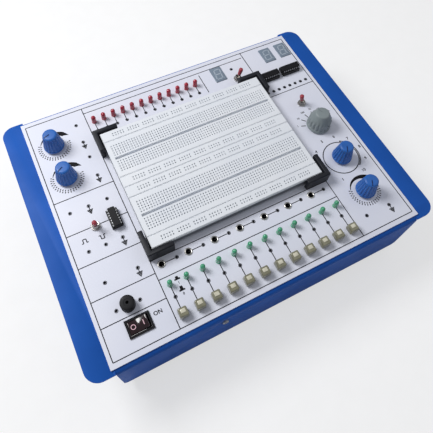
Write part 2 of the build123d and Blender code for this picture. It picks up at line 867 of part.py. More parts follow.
def flute_tools(lower, upper, height, flutes, depth, z=0.0):
    """V-shaped cutters down the corners of a frustum that has one side for each flute."""
    lean = degrees(atan2(lower - upper, height))
    bar = extrude(RegularPolygon(depth, 4), height, both=True)
    tool = Pos((lower + upper) / 2, 0, z + height / 2) * Rot(0, -lean, 0) * bar
    return [Rot(0, 0, turn * 360 / flutes) * tool for turn in range(flutes)]


def shaft_bore():
    """Tool for the blind bore that a knob's shaft fills."""
    return prism(shaft_radius + sleeve_gap, body_sides, knob_bore_depth, flats=True)


def make_knob(name):
    """Tapered fluted knob with a pointer groove, hollow under its skirt."""
    x, y = knob_places[name]
    shoulder = knob_height - knob_crown_height
    knob = frustum(knob_base_radius, knob_top_radius, knob_flutes, shoulder)
    knob += frustum(knob_top_radius, knob_crown_radius, knob_flutes, knob_crown_height, shoulder)
    knob -= flute_tools(knob_base_radius, knob_top_radius, shoulder, knob_flutes, knob_flute_depth)
    groove_length = knob_base_radius
    groove_z = knob_height - knob_pointer_depth
    knob -= block(groove_length, knob_pointer_width, knob_pointer_depth, groove_length / 2, 0, groove_z)
    knob -= prism(knob_hollow_radius, body_sides, knob_hollow_depth)
    knob -= shaft_bore()
    return Pos(x, y, panel_top + knob_lift) * Rot(0, 0, knob_angles[name]) * knob


def make_selector():
    """Larger fluted knob on a plain skirt, with a pointer groove and a grub screw hole."""
    x, y = selector_place
    skirt = frustum(selector_skirt_radius, selector_body_radius, body_sides, selector_skirt_height)
    straight = selector_shoulder - selector_skirt_height
    knob = prism(selector_body_radius, selector_flutes, straight, z=selector_skirt_height)
    upper = selector_height - selector_shoulder
    knob += frustum(selector_body_radius, selector_top_radius, selector_flutes, upper, selector_shoulder)
    radius = selector_body_radius
    flute_z = selector_skirt_height + straight
    knob -= flute_tools(radius, radius, straight, selector_flutes, selector_flute_depth, flute_z)
    knob += skirt
    groove_length = selector_body_radius
    groove_z = selector_height - knob_pointer_depth
    knob -= block(groove_length, selector_pointer_width, knob_pointer_depth, groove_length / 2, 0, groove_z)
    knob -= prism(selector_hollow_radius, body_sides, selector_hollow_depth)
    knob -= shaft_bore()
    hole = Pos(-selector_body_radius, 0, set_screw_height) * Rot(0, 90, 0)
    knob -= hole * extrude(RegularPolygon(set_screw_radius, hole_sides), set_screw_depth)
    return Pos(x, y, panel_top + selector_lift) * Rot(0, 0, selector_angle) * knob


# ================================================================ rear and inside
def make_inlet():
    """Mains inlet: flange, body and a six-cornered cavity with three pins."""
    width, height = inlet_cavity_width, inlet_cavity_height
    flange = RectangleRounded(inlet_flange_width, inlet_flange_height, inlet_flange_radius)
    for x in spread(2, inlet_screw_spacing):
        flange -= Pos(x, 0) * RegularPolygon(screw_hole_radius, hole_sides, major_radius=False)
    cavity = Rectangle(width, height)
    cavity = chamfer(cavity.vertices().group_by(Axis.Y)[-1], inlet_cavity_corner)
    body = extrude(Rectangle(inlet_body_width, inlet_body_height), -inlet_body_depth)
    inlet = extrude(flange, inlet_flange_thickness) + body
    mouth = Pos(0, 0, inlet_flange_thickness) * extrude(cavity, -inlet_cavity_depth)
    inlet -= mouth
    floor = inlet_flange_thickness - inlet_cavity_depth
    for i, x in enumerate(spread(3, inlet_pin_spacing)):
        rise = inlet_earth_rise if i == 1 else -inlet_earth_rise / 2
        inlet += block(inlet_pin[0], inlet_pin[1], inlet_pin[2], x, rise - inlet_earth_rise / 2, floor)
    outward = Location((inlet_x, top_depth / 2, inlet_z), (-90, 0, 180))
    return outward * inlet


def make_inlet_screws():
    """Two screws in the inlet's flange."""
    face = top_depth / 2 + inlet_flange_thickness
    return [make_screw(x, inlet_z, face, 1) for x in spread(2, inlet_screw_spacing, inlet_x)]


def make_transformer():
    """Laminated core and its winding, standing on the tray."""
    x, y = core_centre
    core = block(*core_size, x, y, tray_floor)
    coil = block(*coil_size, x, y, tray_floor + (core_size[2] - coil_size[2]) / 2)
    coil = chamfer(coil.edges().filter_by(Axis.Z), coil_corner)
    foot_width = core_size[0] + 2 * core_foot_reach
    foot = block(foot_width, core_size[1] / 2, core_foot_height, x, y, tray_floor)
    return core + coil + foot


def supply_corners():
    """Standoff places under the supply board."""
    x, y = supply_board_centre
    xs = spread(2, supply_board_size[0] - 2 * standoff_inset, x)
    ys = spread(2, supply_board_size[1] - 2 * standoff_inset, y)
    return [(a, b) for a in xs for b in ys]


def make_standoffs():
    """Hexagon standoffs between the tray and the supply board."""
    return [prism(standoff_width / 2, 6, standoff_height, x, y, tray_floor) for x, y in supply_corners()]


def make_supply_board():
    """Bare board of the power supply."""
    x, y = supply_board_centre
    return block(*supply_board_size, x, y, tray_floor + standoff_height)


def make_supply_parts():
    """Smoothing capacitors and the finned heat sink on the supply board."""
    z = tray_floor + standoff_height + supply_board_size[2]
    parts = [prism(capacitor_radius, round_sides, capacitor_height, x, y, z) for x, y in capacitor_places]
    x, y = sink_centre
    sink = block(*sink_size, x, y, z)
    fin_y = y - sink_size[1] / 2 + sink_fin_depth / 2
    for fin_x in spread(sink_fin_count - 1, sink_size[0] / sink_fin_count, x):
        sink -= block(sink_fin_gap, sink_fin_depth, sink_size[2], fin_x, fin_y, z)
    return parts + [sink]


# ================================================================ write one file for each node
def build_nodes():
    """All nodes by name."""
    nodes = {
        "cover": make_cover(),
        "chassis": make_chassis(),
        "rubber_feet": make_feet(),
        "case_screws": make_case_screws(),
        "panel_board": make_panel_board(),
        "mini_sockets": make_mini_sockets(),
        "banana_sockets": make_banana_sockets(),
        "terminal_strips": make_terminal_strips(),
        "bus_strips": make_bus_strips(),
        "board_back_plate": make_back_plate(),
        "board_brackets": make_brackets(),
        "red_leds": make_leds(red_xs(), red_led_y),
        "green_leds": make_leds(column_xs(), green_led_y),
        "digit_displays": make_displays(),
        "integrated_circuits": make_circuits(),
        "circuit_sockets": make_circuit_sockets(),
        "buzzer": make_buzzer(),
        "push_switches": make_push_housings(),
        "toggle_switches": make_toggle_bodies(),
        "toggle_nuts": make_toggle_nuts(),
        "rocker_frame": make_rocker_frame(),
        "power_rocker": make_rocker(),
        "potentiometers": make_potentiometers(),
        "rotary_switch": make_rotary_switch(),
        "control_nuts": make_control_nuts(),
        "selector_knob": make_selector(),
        "selector_shaft": make_shaft(selector_place, selector_angle, selector_lift + shaft_reach),
        "mains_inlet": make_inlet(),
        "inlet_screws": make_inlet_screws(),
        "transformer": make_transformer(),
        "supply_board": make_supply_board(),
        "supply_parts": make_supply_parts(),
        "standoffs": make_standoffs(),
    }
    for name, place in knob_places.items():
        nodes[f"{name}_knob"] = make_knob(name)
        nodes[f"{name}_shaft"] = make_shaft(place, knob_angles[name], knob_lift + shaft_reach)
    for index in range(len(toggle_places)):
        nodes[f"toggle_lever_{index + 1}"] = make_toggle_lever(index)
        nodes[f"toggle_sleeve_{index + 1}"] = make_toggle_sleeve(index)
    for index, x in enumerate(column_xs()):
        nodes[f"push_button_{index + 1:02d}"] = make_push_cap(x)
    return nodes


def main():
    """Write each node to its own STEP file."""
    os.makedirs("parts", exist_ok=True)
    for name, made in build_nodes().items():
        solids = made if isinstance(made, list) else [made]
        solids = [solid for shape in solids for solid in shape.solids()]
        export_step(Compound(children=solids), f"parts/{name}.step")


main()
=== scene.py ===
"""Looks, light and camera for the digital logic trainer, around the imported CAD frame."""

import json
import logging
from dataclasses import dataclass, field
from enum import Enum
from math import atan2, cos, degrees, pi, radians, sin, tan, tau
from typing import Any, Iterable, Sequence

import bmesh
import bpy
from mathutils import Matrix, Vector

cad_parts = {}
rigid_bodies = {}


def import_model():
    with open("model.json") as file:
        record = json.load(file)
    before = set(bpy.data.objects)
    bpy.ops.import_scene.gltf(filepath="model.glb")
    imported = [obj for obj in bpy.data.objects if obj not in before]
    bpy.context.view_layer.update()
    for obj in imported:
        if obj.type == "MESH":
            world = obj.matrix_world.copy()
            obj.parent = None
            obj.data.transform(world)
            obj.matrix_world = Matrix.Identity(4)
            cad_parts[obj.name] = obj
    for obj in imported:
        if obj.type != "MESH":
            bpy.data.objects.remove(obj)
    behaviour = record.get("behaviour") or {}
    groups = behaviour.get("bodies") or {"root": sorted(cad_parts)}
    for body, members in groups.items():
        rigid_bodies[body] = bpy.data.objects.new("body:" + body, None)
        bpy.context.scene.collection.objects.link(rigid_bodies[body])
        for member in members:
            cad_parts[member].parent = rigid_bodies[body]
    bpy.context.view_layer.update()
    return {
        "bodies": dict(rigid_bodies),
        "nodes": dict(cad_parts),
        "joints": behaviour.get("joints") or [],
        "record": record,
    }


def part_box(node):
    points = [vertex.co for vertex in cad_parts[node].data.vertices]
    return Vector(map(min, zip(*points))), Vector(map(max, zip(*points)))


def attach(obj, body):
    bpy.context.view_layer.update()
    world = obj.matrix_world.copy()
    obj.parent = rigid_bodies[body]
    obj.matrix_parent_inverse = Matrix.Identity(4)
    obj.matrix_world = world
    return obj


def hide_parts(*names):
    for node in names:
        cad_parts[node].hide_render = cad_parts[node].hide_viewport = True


LOG = logging.getLogger("trainer")
MM = 0.001
CASE = "case"
INK_THICKNESS = 0.06
INK_SINK = 0.02
STROKE_GROWTH = 0.035

Point = tuple[float, float]
Triple = tuple[float, float, float]
Wire = bpy.types.NodeSocket
Tree = bpy.types.NodeTree
Material = bpy.types.Material
Object = bpy.types.Object


# ---------------------------------------------------------------- small tools
def linear(colour: str) -> tuple[float, float, float, float]:
    """Turns an sRGB colour, written #RRGGBB, to linear red, green, blue and an alpha of 1."""
    parts = [int(colour[start : start + 2], 16) / 255 for start in (1, 3, 5)]
    red, green, blue = (p / 12.92 if p <= 0.04045 else ((p + 0.055) / 1.055) ** 2.4 for p in parts)
    return red, green, blue, 1.0


def add_node(
    tree: Tree,
    kind: str,
    links: dict[Any, Wire] | None = None,
    values: dict[Any, Any] | None = None,
    **settings: Any,
) -> bpy.types.Node:
    """Adds a node with its settings, values and links.

    Args:
        tree: the node tree that gets the node.
        kind: the node's Blender type name.
        links: input name or index, and the output that feeds it.
        values: input name or index, and its fixed value.
        settings: the node's own properties.

    Returns:
        The new node.
    """
    node = tree.nodes.new(kind)
    for name, value in settings.items():
        setattr(node, name, value)
    for key, value in (values or {}).items():
        node.inputs[key].default_value = value
    for key, socket in (links or {}).items():
        tree.links.new(socket, node.inputs[key])
    return node


def spread(count: int, step: float, centre: float = 0.0) -> list[float]:
    """Evenly spaced places around a centre, lowest first."""
    return [centre + (index - (count - 1) / 2) * step for index in range(count)]


def shift(x: float = 0.0, y: float = 0.0, z: float = 0.0) -> Matrix:
    """A move, as a matrix."""
    return Matrix.Translation((x, y, z))


def turn(angle: float, axis: str = "Z") -> Matrix:
    """A turn in degrees about an axis, as a matrix."""
    return Matrix.Rotation(radians(angle), 4, axis)


@dataclass(frozen=True)
class Region:
    """A box in the row frame, in millimetres."""

    low: Vector
    high: Vector

    @classmethod
    def of(cls, node: str) -> "Region":
        """The box of a CAD node at rest."""
        low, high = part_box(node)
        return cls(low / MM, high / MM)

    @property
    def centre(self) -> Vector:
        """Middle of the box."""
        return (self.low + self.high) / 2

    @property
    def size(self) -> Vector:
        """Size of the box along each axis."""
        return self.high - self.low


def solids(frame: dict[str, Any], node: str) -> list[Region]:
    """Finds the separate solids of a CAD node.

    Args:
        frame: the loaded frame.
        node: name of the CAD node.

    Returns:
        The box of each solid, from left to right and front to rear.
    """
    work = bmesh.new()
    work.from_mesh(frame["nodes"][node].data)
    bmesh.ops.remove_doubles(work, verts=work.verts[:], dist=0.002 * MM)
    unseen = set(work.verts)
    found = []
    while unseen:
        queue = [unseen.pop()]
        group = []
        while queue:
            vertex = queue.pop()
            group.append(vertex.co / MM)
            for edge in vertex.link_edges:
                other = edge.other_vert(vertex)
                if other in unseen:
                    unseen.remove(other)
                    queue.append(other)
        low = Vector(min(co[axis] for co in group) for axis in range(3))
        high = Vector(max(co[axis] for co in group) for axis in range(3))
        found.append(Region(low, high))
    work.free()
    return sorted(found, key=lambda box: (round(box.centre.x, 1), round(box.centre.y, 1)))


# ---------------------------------------------------------------- finishes
class Relief(Enum):
    """How a surface was made, which gives its grain a direction."""

    EVEN = (1.0, 1.0, 1.0)
    BRUSHED = (0.04, 1.0, 1.0)
    TURNED = (0.15, 0.15, 1.0)


def noise(tree: Tree, spot: Wire, size: float, detail: float) -> Wire:
    """Noise whose spots are about so many millimetres wide."""
    values = {"Scale": 1 / (size * MM), "Detail": detail}
    return add_node(tree, "ShaderNodeTexNoise", {"Vector": spot}, values).outputs[0]


def ranged(tree: Tree, value: Wire, *limits: float) -> Wire:
    """Maps a value from two limits to two others, which are 0 and 1 where they aren't given."""
    values = dict(zip(("From Min", "From Max", "To Min", "To Max"), limits))
    return add_node(tree, "ShaderNodeMapRange", {"Value": value}, values).outputs[0]


def blend(tree: Tree, share: Wire, base: Wire | str, colour: str) -> Wire:
    """Mixes a first colour, made by nodes or written as hex, with a second one."""
    links, values = {0: share}, {7: linear(colour)}
    if isinstance(base, str):
        values[6] = linear(base)
    else:
        links[6] = base
    return add_node(tree, "ShaderNodeMix", links, values, data_type="RGBA").outputs[2]


@dataclass(frozen=True)
class Finish:
    """One material: its colours, how it reflects, and its relief.

    Lengths are in millimetres. A grain that is finer than half a millimetre on the real part
    is drawn near that size, because a finer one is lost in the picture.
    """

    name: str
    colour: str
    shade: str
    roughness: float
    grain: float = 0.6
    depth: float = 0.01
    blotch: float = 18.0
    roughness_spread: float = 0.06
    metallic: float = 0.0
    ior: float = 1.5
    coat: float = 0.0
    subsurface: float = 0.0
    relief: Relief = Relief.EVEN
    smudge: float = 0.12
    deep_colour: str = ""
    deep_from: float = 0.0
    deep_over: float = 1.0

    def build(self) -> Material:
        """Builds the node material."""
        material = bpy.data.materials.new(self.name)
        material.use_nodes = True
        tree = material.node_tree
        tree.nodes.clear()
        spot = add_node(tree, "ShaderNodeTexCoord").outputs["Object"]
        along = add_node(tree, "ShaderNodeMapping", {"Vector": spot}, {"Scale": self.relief.value})
        grain = noise(tree, along.outputs["Vector"], self.grain, 2.0)
        blotch = noise(tree, spot, self.blotch, 3.0)
        base = blend(tree, ranged(tree, blotch, 0.3, 0.7), self.colour, self.shade)
        base = blend(tree, ranged(tree, grain, 0.55, 0.8, 0.0, self.smudge), base, self.shade)
        if self.deep_colour:
            # Below a height the colour goes deep, as inside a contact hole.
            height = add_node(tree, "ShaderNodeSeparateXYZ", {"Vector": spot}).outputs["Z"]
            depth = ranged(tree, height, self.deep_from * MM, (self.deep_from - self.deep_over) * MM)
            base = blend(tree, depth, base, self.deep_colour)
        low, high = self.roughness - self.roughness_spread, self.roughness + self.roughness_spread
        rough = ranged(tree, blotch, 0.3, 0.7, low, high)
        values = {"Strength": 0.6, "Distance": self.depth * MM}
        bump = add_node(tree, "ShaderNodeBump", {"Height": grain}, values).outputs["Normal"]
        values = {"Metallic": self.metallic, "Coat Weight": self.coat, "Coat Roughness": 0.12}
        if not self.metallic:
            values["IOR"] = self.ior
        if self.subsurface:
            values |= {"Subsurface Weight": self.subsurface, "Subsurface Scale": 1.5 * MM}
        links = {"Base Color": base, "Roughness": rough, "Normal": bump}
        shader = add_node(tree, "ShaderNodeBsdfPrincipled", links, values)
        add_node(tree, "ShaderNodeOutputMaterial", {"Surface": shader.outputs["BSDF"]})
        return material


class Stock(Enum):
    """Every finish on the trainer."""

    # Polyester powder coat on sheet steel: an even blue with a slight orange peel and a soft gloss.
    BLUE_COAT = Finish(
        "powder_coated_steel_blue", "#1859B4", "#1451A6", 0.56, grain=1.6, depth=0.05, blotch=45, ior=1.28
    )
    # The blue coat on the tray, darkened to navy: painted shade, a darker copy of the blue coat for the shaded lower
    # walls; only its soft gloss tells it from a matt paint.
    NAVY_COAT = Finish(
        "powder_coated_steel_navy", "#143C7E", "#103470", 0.56, grain=1.6, depth=0.05, blotch=45, ior=1.28
    )
    # Screen-printed polycarbonate over board: near white, slightly lavender, satin.
    LABEL = Finish("satin_printed_laminate", "#E4E6F1", "#DEE1EE", 0.42, grain=0.8, depth=0.004, blotch=60)
    # Screen ink: dense black with a slightly uneven edge and no gloss.
    INK = Finish("screen_ink_black", "#07070A", "#0E0E13", 0.7, grain=0.5, depth=0.01, blotch=8, ior=1.3)
    # Moulded ABS of the strips: clean white, satin, with dark contacts down the holes.
    BOARD = Finish(
        "moulded_abs_white",
        "#E9ECF0",
        "#E2E6EC",
        0.45,
        grain=0.7,
        depth=0.006,
        blotch=30,
        deep_colour="#565A62",
        deep_from=79.7,
        deep_over=0.4,
    )
    # Rolled aluminium sheet: long fine lines and a grey shine.
    PLATE = Finish("mill_aluminium", "#C8CACD", "#B4B7BB", 0.34, metallic=1.0, relief=Relief.BRUSHED, depth=0.01)
    # Moulded ABS with a fine spark-eroded texture: charcoal, no sharp highlights.
    BRACKET = Finish("textured_abs_black", "#14161D", "#1B1E26", 0.52, grain=0.9, depth=0.03, blotch=12, ior=1.4)
    # Diffusing epoxy: dark rose red that glows a little at its rim.
    RED_LENS = Finish(
        "diffused_epoxy_red", "#B22840", "#9A1D35", 0.22, blotch=4, coat=0.4, subsurface=0.25, grain=1.2
    )
    # Diffusing epoxy in green: milky and glossy.
    GREEN_LENS = Finish(
        "diffused_epoxy_green", "#52AD83", "#439A72", 0.22, blotch=4, coat=0.4, subsurface=0.25, grain=1.2
    )
    # Smoked resin face of a display: grey-blue and smooth.
    DISPLAY = Finish("smoked_resin_grey", "#7F8D9C", "#748292", 0.28, blotch=10, coat=0.25, depth=0.004)
    # Unlit diffusing segments: a paler grey than the face.
    SEGMENT = Finish("unlit_segment_resin", "#A9B4BF", "#9FABB8", 0.35, blotch=6, depth=0.003)
    # Moulded epoxy package: matt black with a fine grain.
    CHIP = Finish("moulded_epoxy_black", "#0B0B0F", "#111217", 0.55, grain=0.7, depth=0.02, blotch=8, ior=1.36)
    # Tinned copper alloy leads: bright and slightly streaked.
    LEAD = Finish("tinned_lead_frame", "#C9CACB", "#AEB0B3", 0.3, metallic=1.0, blotch=3, grain=0.6)
    # Glass-filled nylon sockets and switch housings: plain black, satin.
    SOCKET = Finish("moulded_nylon_black", "#0B0C0F", "#121316", 0.48, grain=0.7, depth=0.01, blotch=6, ior=1.36)
    # Nickel-plated brass: a warm grey mirror with faint turning lines.
    NICKEL = Finish(
        "nickel_plated_brass", "#D2CFC9", "#B5B3AF", 0.28, metallic=1.0, relief=Relief.TURNED, blotch=5, depth=0.008
    )
    # Plated rims of the small sockets: the same metal, handled to a dull dark grey.
    RIM = Finish("dulled_plated_rim", "#6F7076", "#5B5C62", 0.42, metallic=1.0, blotch=3, depth=0.006)
    # Vinyl sleeve: soft dark red, almost matt.
    SLEEVE = Finish("dipped_vinyl_red", "#A83C48", "#96303E", 0.38, blotch=5, depth=0.01, subsurface=0.1)
    # Moulded ABS knob: blue, satin, with a fine texture that softens its highlights.
    BLUE_KNOB = Finish("satin_abs_blue", "#2467BA", "#1E5CAC", 0.42, grain=0.9, depth=0.02, blotch=12)
    # Moulded nylon knob: mid grey, satin.
    GREY_KNOB = Finish("satin_nylon_grey", "#8B9496", "#808A8C", 0.42, grain=0.9, depth=0.02, blotch=12)
    # Paint in a pointer groove.
    POINTER = Finish("pointer_paint_navy", "#12275C", "#0E1F4C", 0.5, blotch=4)
    # Polished acrylic cap over a grey body: olive, glossy, with bright edges.
    CAP = Finish("glossy_acrylic_olive", "#88866F", "#75735F", 0.16, blotch=5, coat=0.6, grain=1.0, ior=1.49)
    # Cream block on each cap's top: a painted highlight that stands in for the bright reflection of the light on the
    # cap's top.
    CAP_TOP = Finish("cream_acrylic", "#DDD9C4", "#C9C5AF", 0.2, blotch=3, coat=0.5)
    # Polycarbonate bezel: deep black and glossy.
    BEZEL = Finish("glossy_polycarbonate_black", "#0C0B0E", "#16141A", 0.16, blotch=10, coat=0.4, depth=0.004)
    # Translucent red polycarbonate rocker with its lamp off: almost black, wine red where thin.
    ROCKER = Finish("translucent_polycarbonate_wine", "#25060F", "#190409", 0.14, blotch=5, coat=0.5, depth=0.003)
    # Hot-stamped marks on the rocker: pinkish white.
    MARK = Finish("hot_stamp_pinkish_white", "#F0C9D2", "#E4B6C2", 0.4, blotch=3, depth=0.003)
    # Vulcanised rubber: very dark, matt.
    RUBBER = Finish("moulded_rubber_black", "#1B1B1D", "#262628", 0.75, grain=1.0, depth=0.04, blotch=9)
    # Bright zinc on steel screws: a cool grey with a light haze.
    ZINC = Finish("bright_zinc_steel", "#B9BCC0", "#9C9FA4", 0.32, metallic=1.0, blotch=4, relief=Relief.TURNED)
    # Varnished silicon steel laminations: brown-black, lined.
    CORE = Finish("varnished_laminations", "#3A332C", "#2A2520", 0.5, relief=Relief.BRUSHED, grain=0.8, depth=0.06)
    # Glass-fibre board under green solder mask.
    FIBRE = Finish("solder_masked_fibre_board", "#2A5A3C", "#224C32", 0.35, blotch=7)
    # Turned brass standoffs.
    BRASS = Finish("turned_brass", "#C4A25C", "#A98748", 0.3, metallic=1.0, relief=Relief.TURNED, blotch=6)


class Palette:
    """Builds each finish once."""

    def __init__(self) -> None:
        """Starts with no materials."""
        self.made: dict[Stock, Material] = {}

    def get(self, stock: Stock) -> Material:
        """The material of a finish."""
        if stock not in self.made:
            self.made[stock] = stock.value.build()
        return self.made[stock]


# ---------------------------------------------------------------- mesh forms
class Form:
    """A mesh in the making, in millimetres."""

    def __init__(self) -> None:
        """Starts empty."""
        self.points: list[Vector] = []
        self.faces: list[tuple[int, ...]] = []

    def add(self, other: "Form", place: Matrix | None = None) -> "Form":
        """Adds a copy of another form.

        Args:
            other: the form to copy.
            place: where the copy goes.

        Returns:
            This form.
        """
        place = place or Matrix()
        start = len(self.points)
        self.points += [place @ point for point in other.points]
        mirrored = place.determinant() < 0
        for face in other.faces:
            corners = tuple(start + index for index in face)
            self.faces.append(corners[::-1] if mirrored else corners)
        return self

    def placed(self, place: Matrix) -> "Form":
        """A copy of this form in another place."""
        return Form().add(self, place)

    def ring(self, points: Iterable[Triple]) -> list[int]:
        """Adds corners and gives their numbers."""
        start = len(self.points)
        self.points += [Vector(point) for point in points]
        return list(range(start, len(self.points)))

    def skin(self, *rings: Sequence[int]) -> None:
        """Joins each ring of corners to the next one; a ring of one corner is a pole.

        Args:
            rings: the corner numbers of each ring, anticlockwise seen from the last ring's side.
        """
        for lower, upper in zip(rings, rings[1:]):
            count = max(len(lower), len(upper))
            for step in range(count):
                after = (step + 1) % count
                if len(lower) == 1:
                    self.faces.append((lower[0], upper[after], upper[step]))
                elif len(upper) == 1:
                    self.faces.append((lower[step], lower[after], upper[0]))
                else:
                    self.faces.append((lower[step], lower[after], upper[after], upper[step]))

    def to_mesh(self, name: str) -> bpy.types.Mesh:
        """Makes a Blender mesh in metres.

        Args:
            name: the mesh's name.

        Returns:
            The mesh, with doubled corners merged.
        """
        mesh = bpy.data.meshes.new(name)
        mesh.from_pydata([point * MM for point in self.points], [], self.faces)
        soft = bmesh.new()
        soft.from_mesh(mesh)
        bmesh.ops.remove_doubles(soft, verts=soft.verts[:], dist=0.0005 * MM)
        soft.to_mesh(mesh)
        soft.free()
        return mesh


def from_bmesh(source: bmesh.types.BMesh) -> Form:
    """Takes a form out of a bmesh, which is freed."""
    form = Form()
    source.verts.ensure_lookup_table()
    form.points = [vertex.co.copy() for vertex in source.verts]
    form.faces = [tuple(vertex.index for vertex in face.verts) for face in source.faces]
    source.free()
    return form


def reclaim(piece: Object) -> Form:
    """Takes an object back as a form in millimetres and removes it."""
    work = bmesh.new()
    work.from_mesh(piece.data)
    work.transform(Matrix.Scale(1 / MM, 4))
    bpy.data.objects.remove(piece)
    return from_bmesh(work)


def lathe(profile: Sequence[Point], segments: int = 32) -> Form:
    """Turns an (r, z) profile about Z.

    Args:
        profile: points anticlockwise round the section. It closes on the axis where it starts
            and ends there, and on its own start elsewhere.
        segments: sides of the round.

    Returns:
        The closed form.
    """
    form = Form()
    rings = []
    for radius, height in profile:
        corners = polygon(radius, segments) if radius > 0 else [(0, 0)]
        rings.append(form.ring((x, y, height) for x, y in corners))
    if profile[0][0] > 0:
        rings.append(rings[0])
    form.skin(*rings)
    return form


def block(size: Triple, centre: Triple = (0, 0, 0), bevel: float = 0.3, steps: int = 2, taper: float = 1.0) -> Form:
    """A box with rounded edges.

    Args:
        size: its size along each axis.
        centre: its middle.
        bevel: radius of its edges.
        steps: faces across each rounded edge.
        taper: width of its top as a share of its foot.

    Returns:
        The form.
    """
    work = bmesh.new()
    bmesh.ops.create_cube(work, size=1.0)
    for vertex in work.verts:
        share = taper if vertex.co.z > 0 else 1.0
        sides = (size[0] * share, size[1] * share, size[2])
        vertex.co = Vector(unit * side + middle for unit, side, middle in zip(vertex.co, sides, centre))
    if bevel:
        bmesh.ops.bevel(
            work, geom=work.edges[:], offset=bevel, segments=steps, profile=0.5, affect="EDGES", clamp_overlap=True
        )
    return from_bmesh(work)


def plate(outline: Sequence[Point], low: float, high: float) -> Form:
    """A flat plate with upright sides.

    Args:
        outline: its corners, anticlockwise from above.
        low: height of its underside.
        high: height of its top.

    Returns:
        The form.
    """
    form = Form()
    lower, upper = (form.ring((x, y, level) for x, y in outline) for level in (low, high))
    form.faces += [tuple(lower[::-1]), tuple(upper)]
    form.skin(lower, upper)
    return form


def polygon(radius: float, sides: int) -> list[Point]:
    """Corners of a regular polygon, anticlockwise."""
    angles = [tau * index / sides for index in range(sides)]
    return [(radius * cos(angle), radius * sin(angle)) for angle in angles]


def lettering(text: str, height: float, place: Matrix) -> Form:
    """Printed characters, centred on their place.

    Args:
        text: the characters.
        height: their cap height.
        place: where they go, on the panel's surface.

    Returns:
        The form.
    """
    curve = bpy.data.curves.new("lettering", "FONT")
    curve.body = text
    curve.align_x = "CENTER"
    curve.align_y = "CENTER"
    curve.size = height * 1.4
    curve.extrude = INK_THICKNESS / 2
    curve.offset = height * STROKE_GROWTH
    curve.resolution_u = 3
    holder = bpy.data.objects.new("lettering", curve)
    bpy.context.scene.collection.objects.link(holder)
    shaped = holder.evaluated_get(bpy.context.evaluated_depsgraph_get())
    mesh = bpy.data.meshes.new_from_object(shaped)
    work = bmesh.new()
    work.from_mesh(mesh)
    form = from_bmesh(work).placed(place @ shift(0, 0, INK_THICKNESS / 2 - INK_SINK))
    bpy.data.objects.remove(holder)
    bpy.data.curves.remove(curve)
    bpy.data.meshes.remove(mesh)
    return form


# ---------------------------------------------------------------- pieces
def smooth(mesh: bpy.types.Mesh, crease: float = 38.0) -> None:
    """Shades a mesh smooth, apart from edges sharper than the crease in degrees."""
    mesh.shade_smooth()
    mesh.set_sharp_from_angle(angle=radians(crease))


def make_object(name: str, mesh: bpy.types.Mesh) -> Object:
    """Puts a mesh in the scene as an object at the origin."""
    made = bpy.data.objects.new(name, mesh)
    bpy.context.scene.collection.objects.link(made)
    return made


def publish(piece: Object, body: str, slot: str, *nodes: str) -> Object:
    """Hands a finished piece to the frame.

    Args:
        piece: the object, in place.
        body: the CAD body that it rides on.
        slot: the record's material slot; not used.
        nodes: CAD nodes that it stands for.

    Returns:
        The piece.
    """
    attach(piece, body)
    if nodes:
        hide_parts(*nodes)
    LOG.info("%s: %d faces on %s", piece.name, len(piece.data.polygons), body)
    return piece


def finish_form(name: str, form: Form, material: Material, crease: float = 38.0) -> Object:
    """Makes an object from a form.

    Args:
        name: the piece's name.
        form: its shape.
        material: its finish.
        crease: angle in degrees past which an edge stays sharp.

    Returns:
        The object.
    """
    mesh = form.to_mesh(name)
    mesh.materials.append(material)
    smooth(mesh, crease)
    return make_object(name, mesh)


def carve(name: str, body: Form, tools: Form, material: Material) -> Object:
    """Cuts tools out of a form.

    Args:
        name: the piece's name.
        body: the form that stays.
        tools: the closed forms that are cut away.
        material: the piece's finish.

    Returns:
        The cut object, with no modifier left on it.
    """
    piece = finish_form(name, body, material)
    cutter = make_object("cutter", tools.to_mesh("cutter"))
    cut = piece.modifiers.new("cut", "BOOLEAN")
    cut.operation = "DIFFERENCE"
    cut.object = cutter
    cut.solver = "EXACT"
    settle(piece)
    bpy.data.objects.remove(cutter)
    smooth(piece.data)
    return piece


def settle(piece: Object) -> None:
    """Turns an object's modifiers into plain mesh."""
    graph = bpy.context.evaluated_depsgraph_get()
    graph.update()
    mesh = bpy.data.meshes.new_from_object(piece.evaluated_get(graph))
    mesh.name = piece.name
    piece.modifiers.clear()
    piece.data = mesh


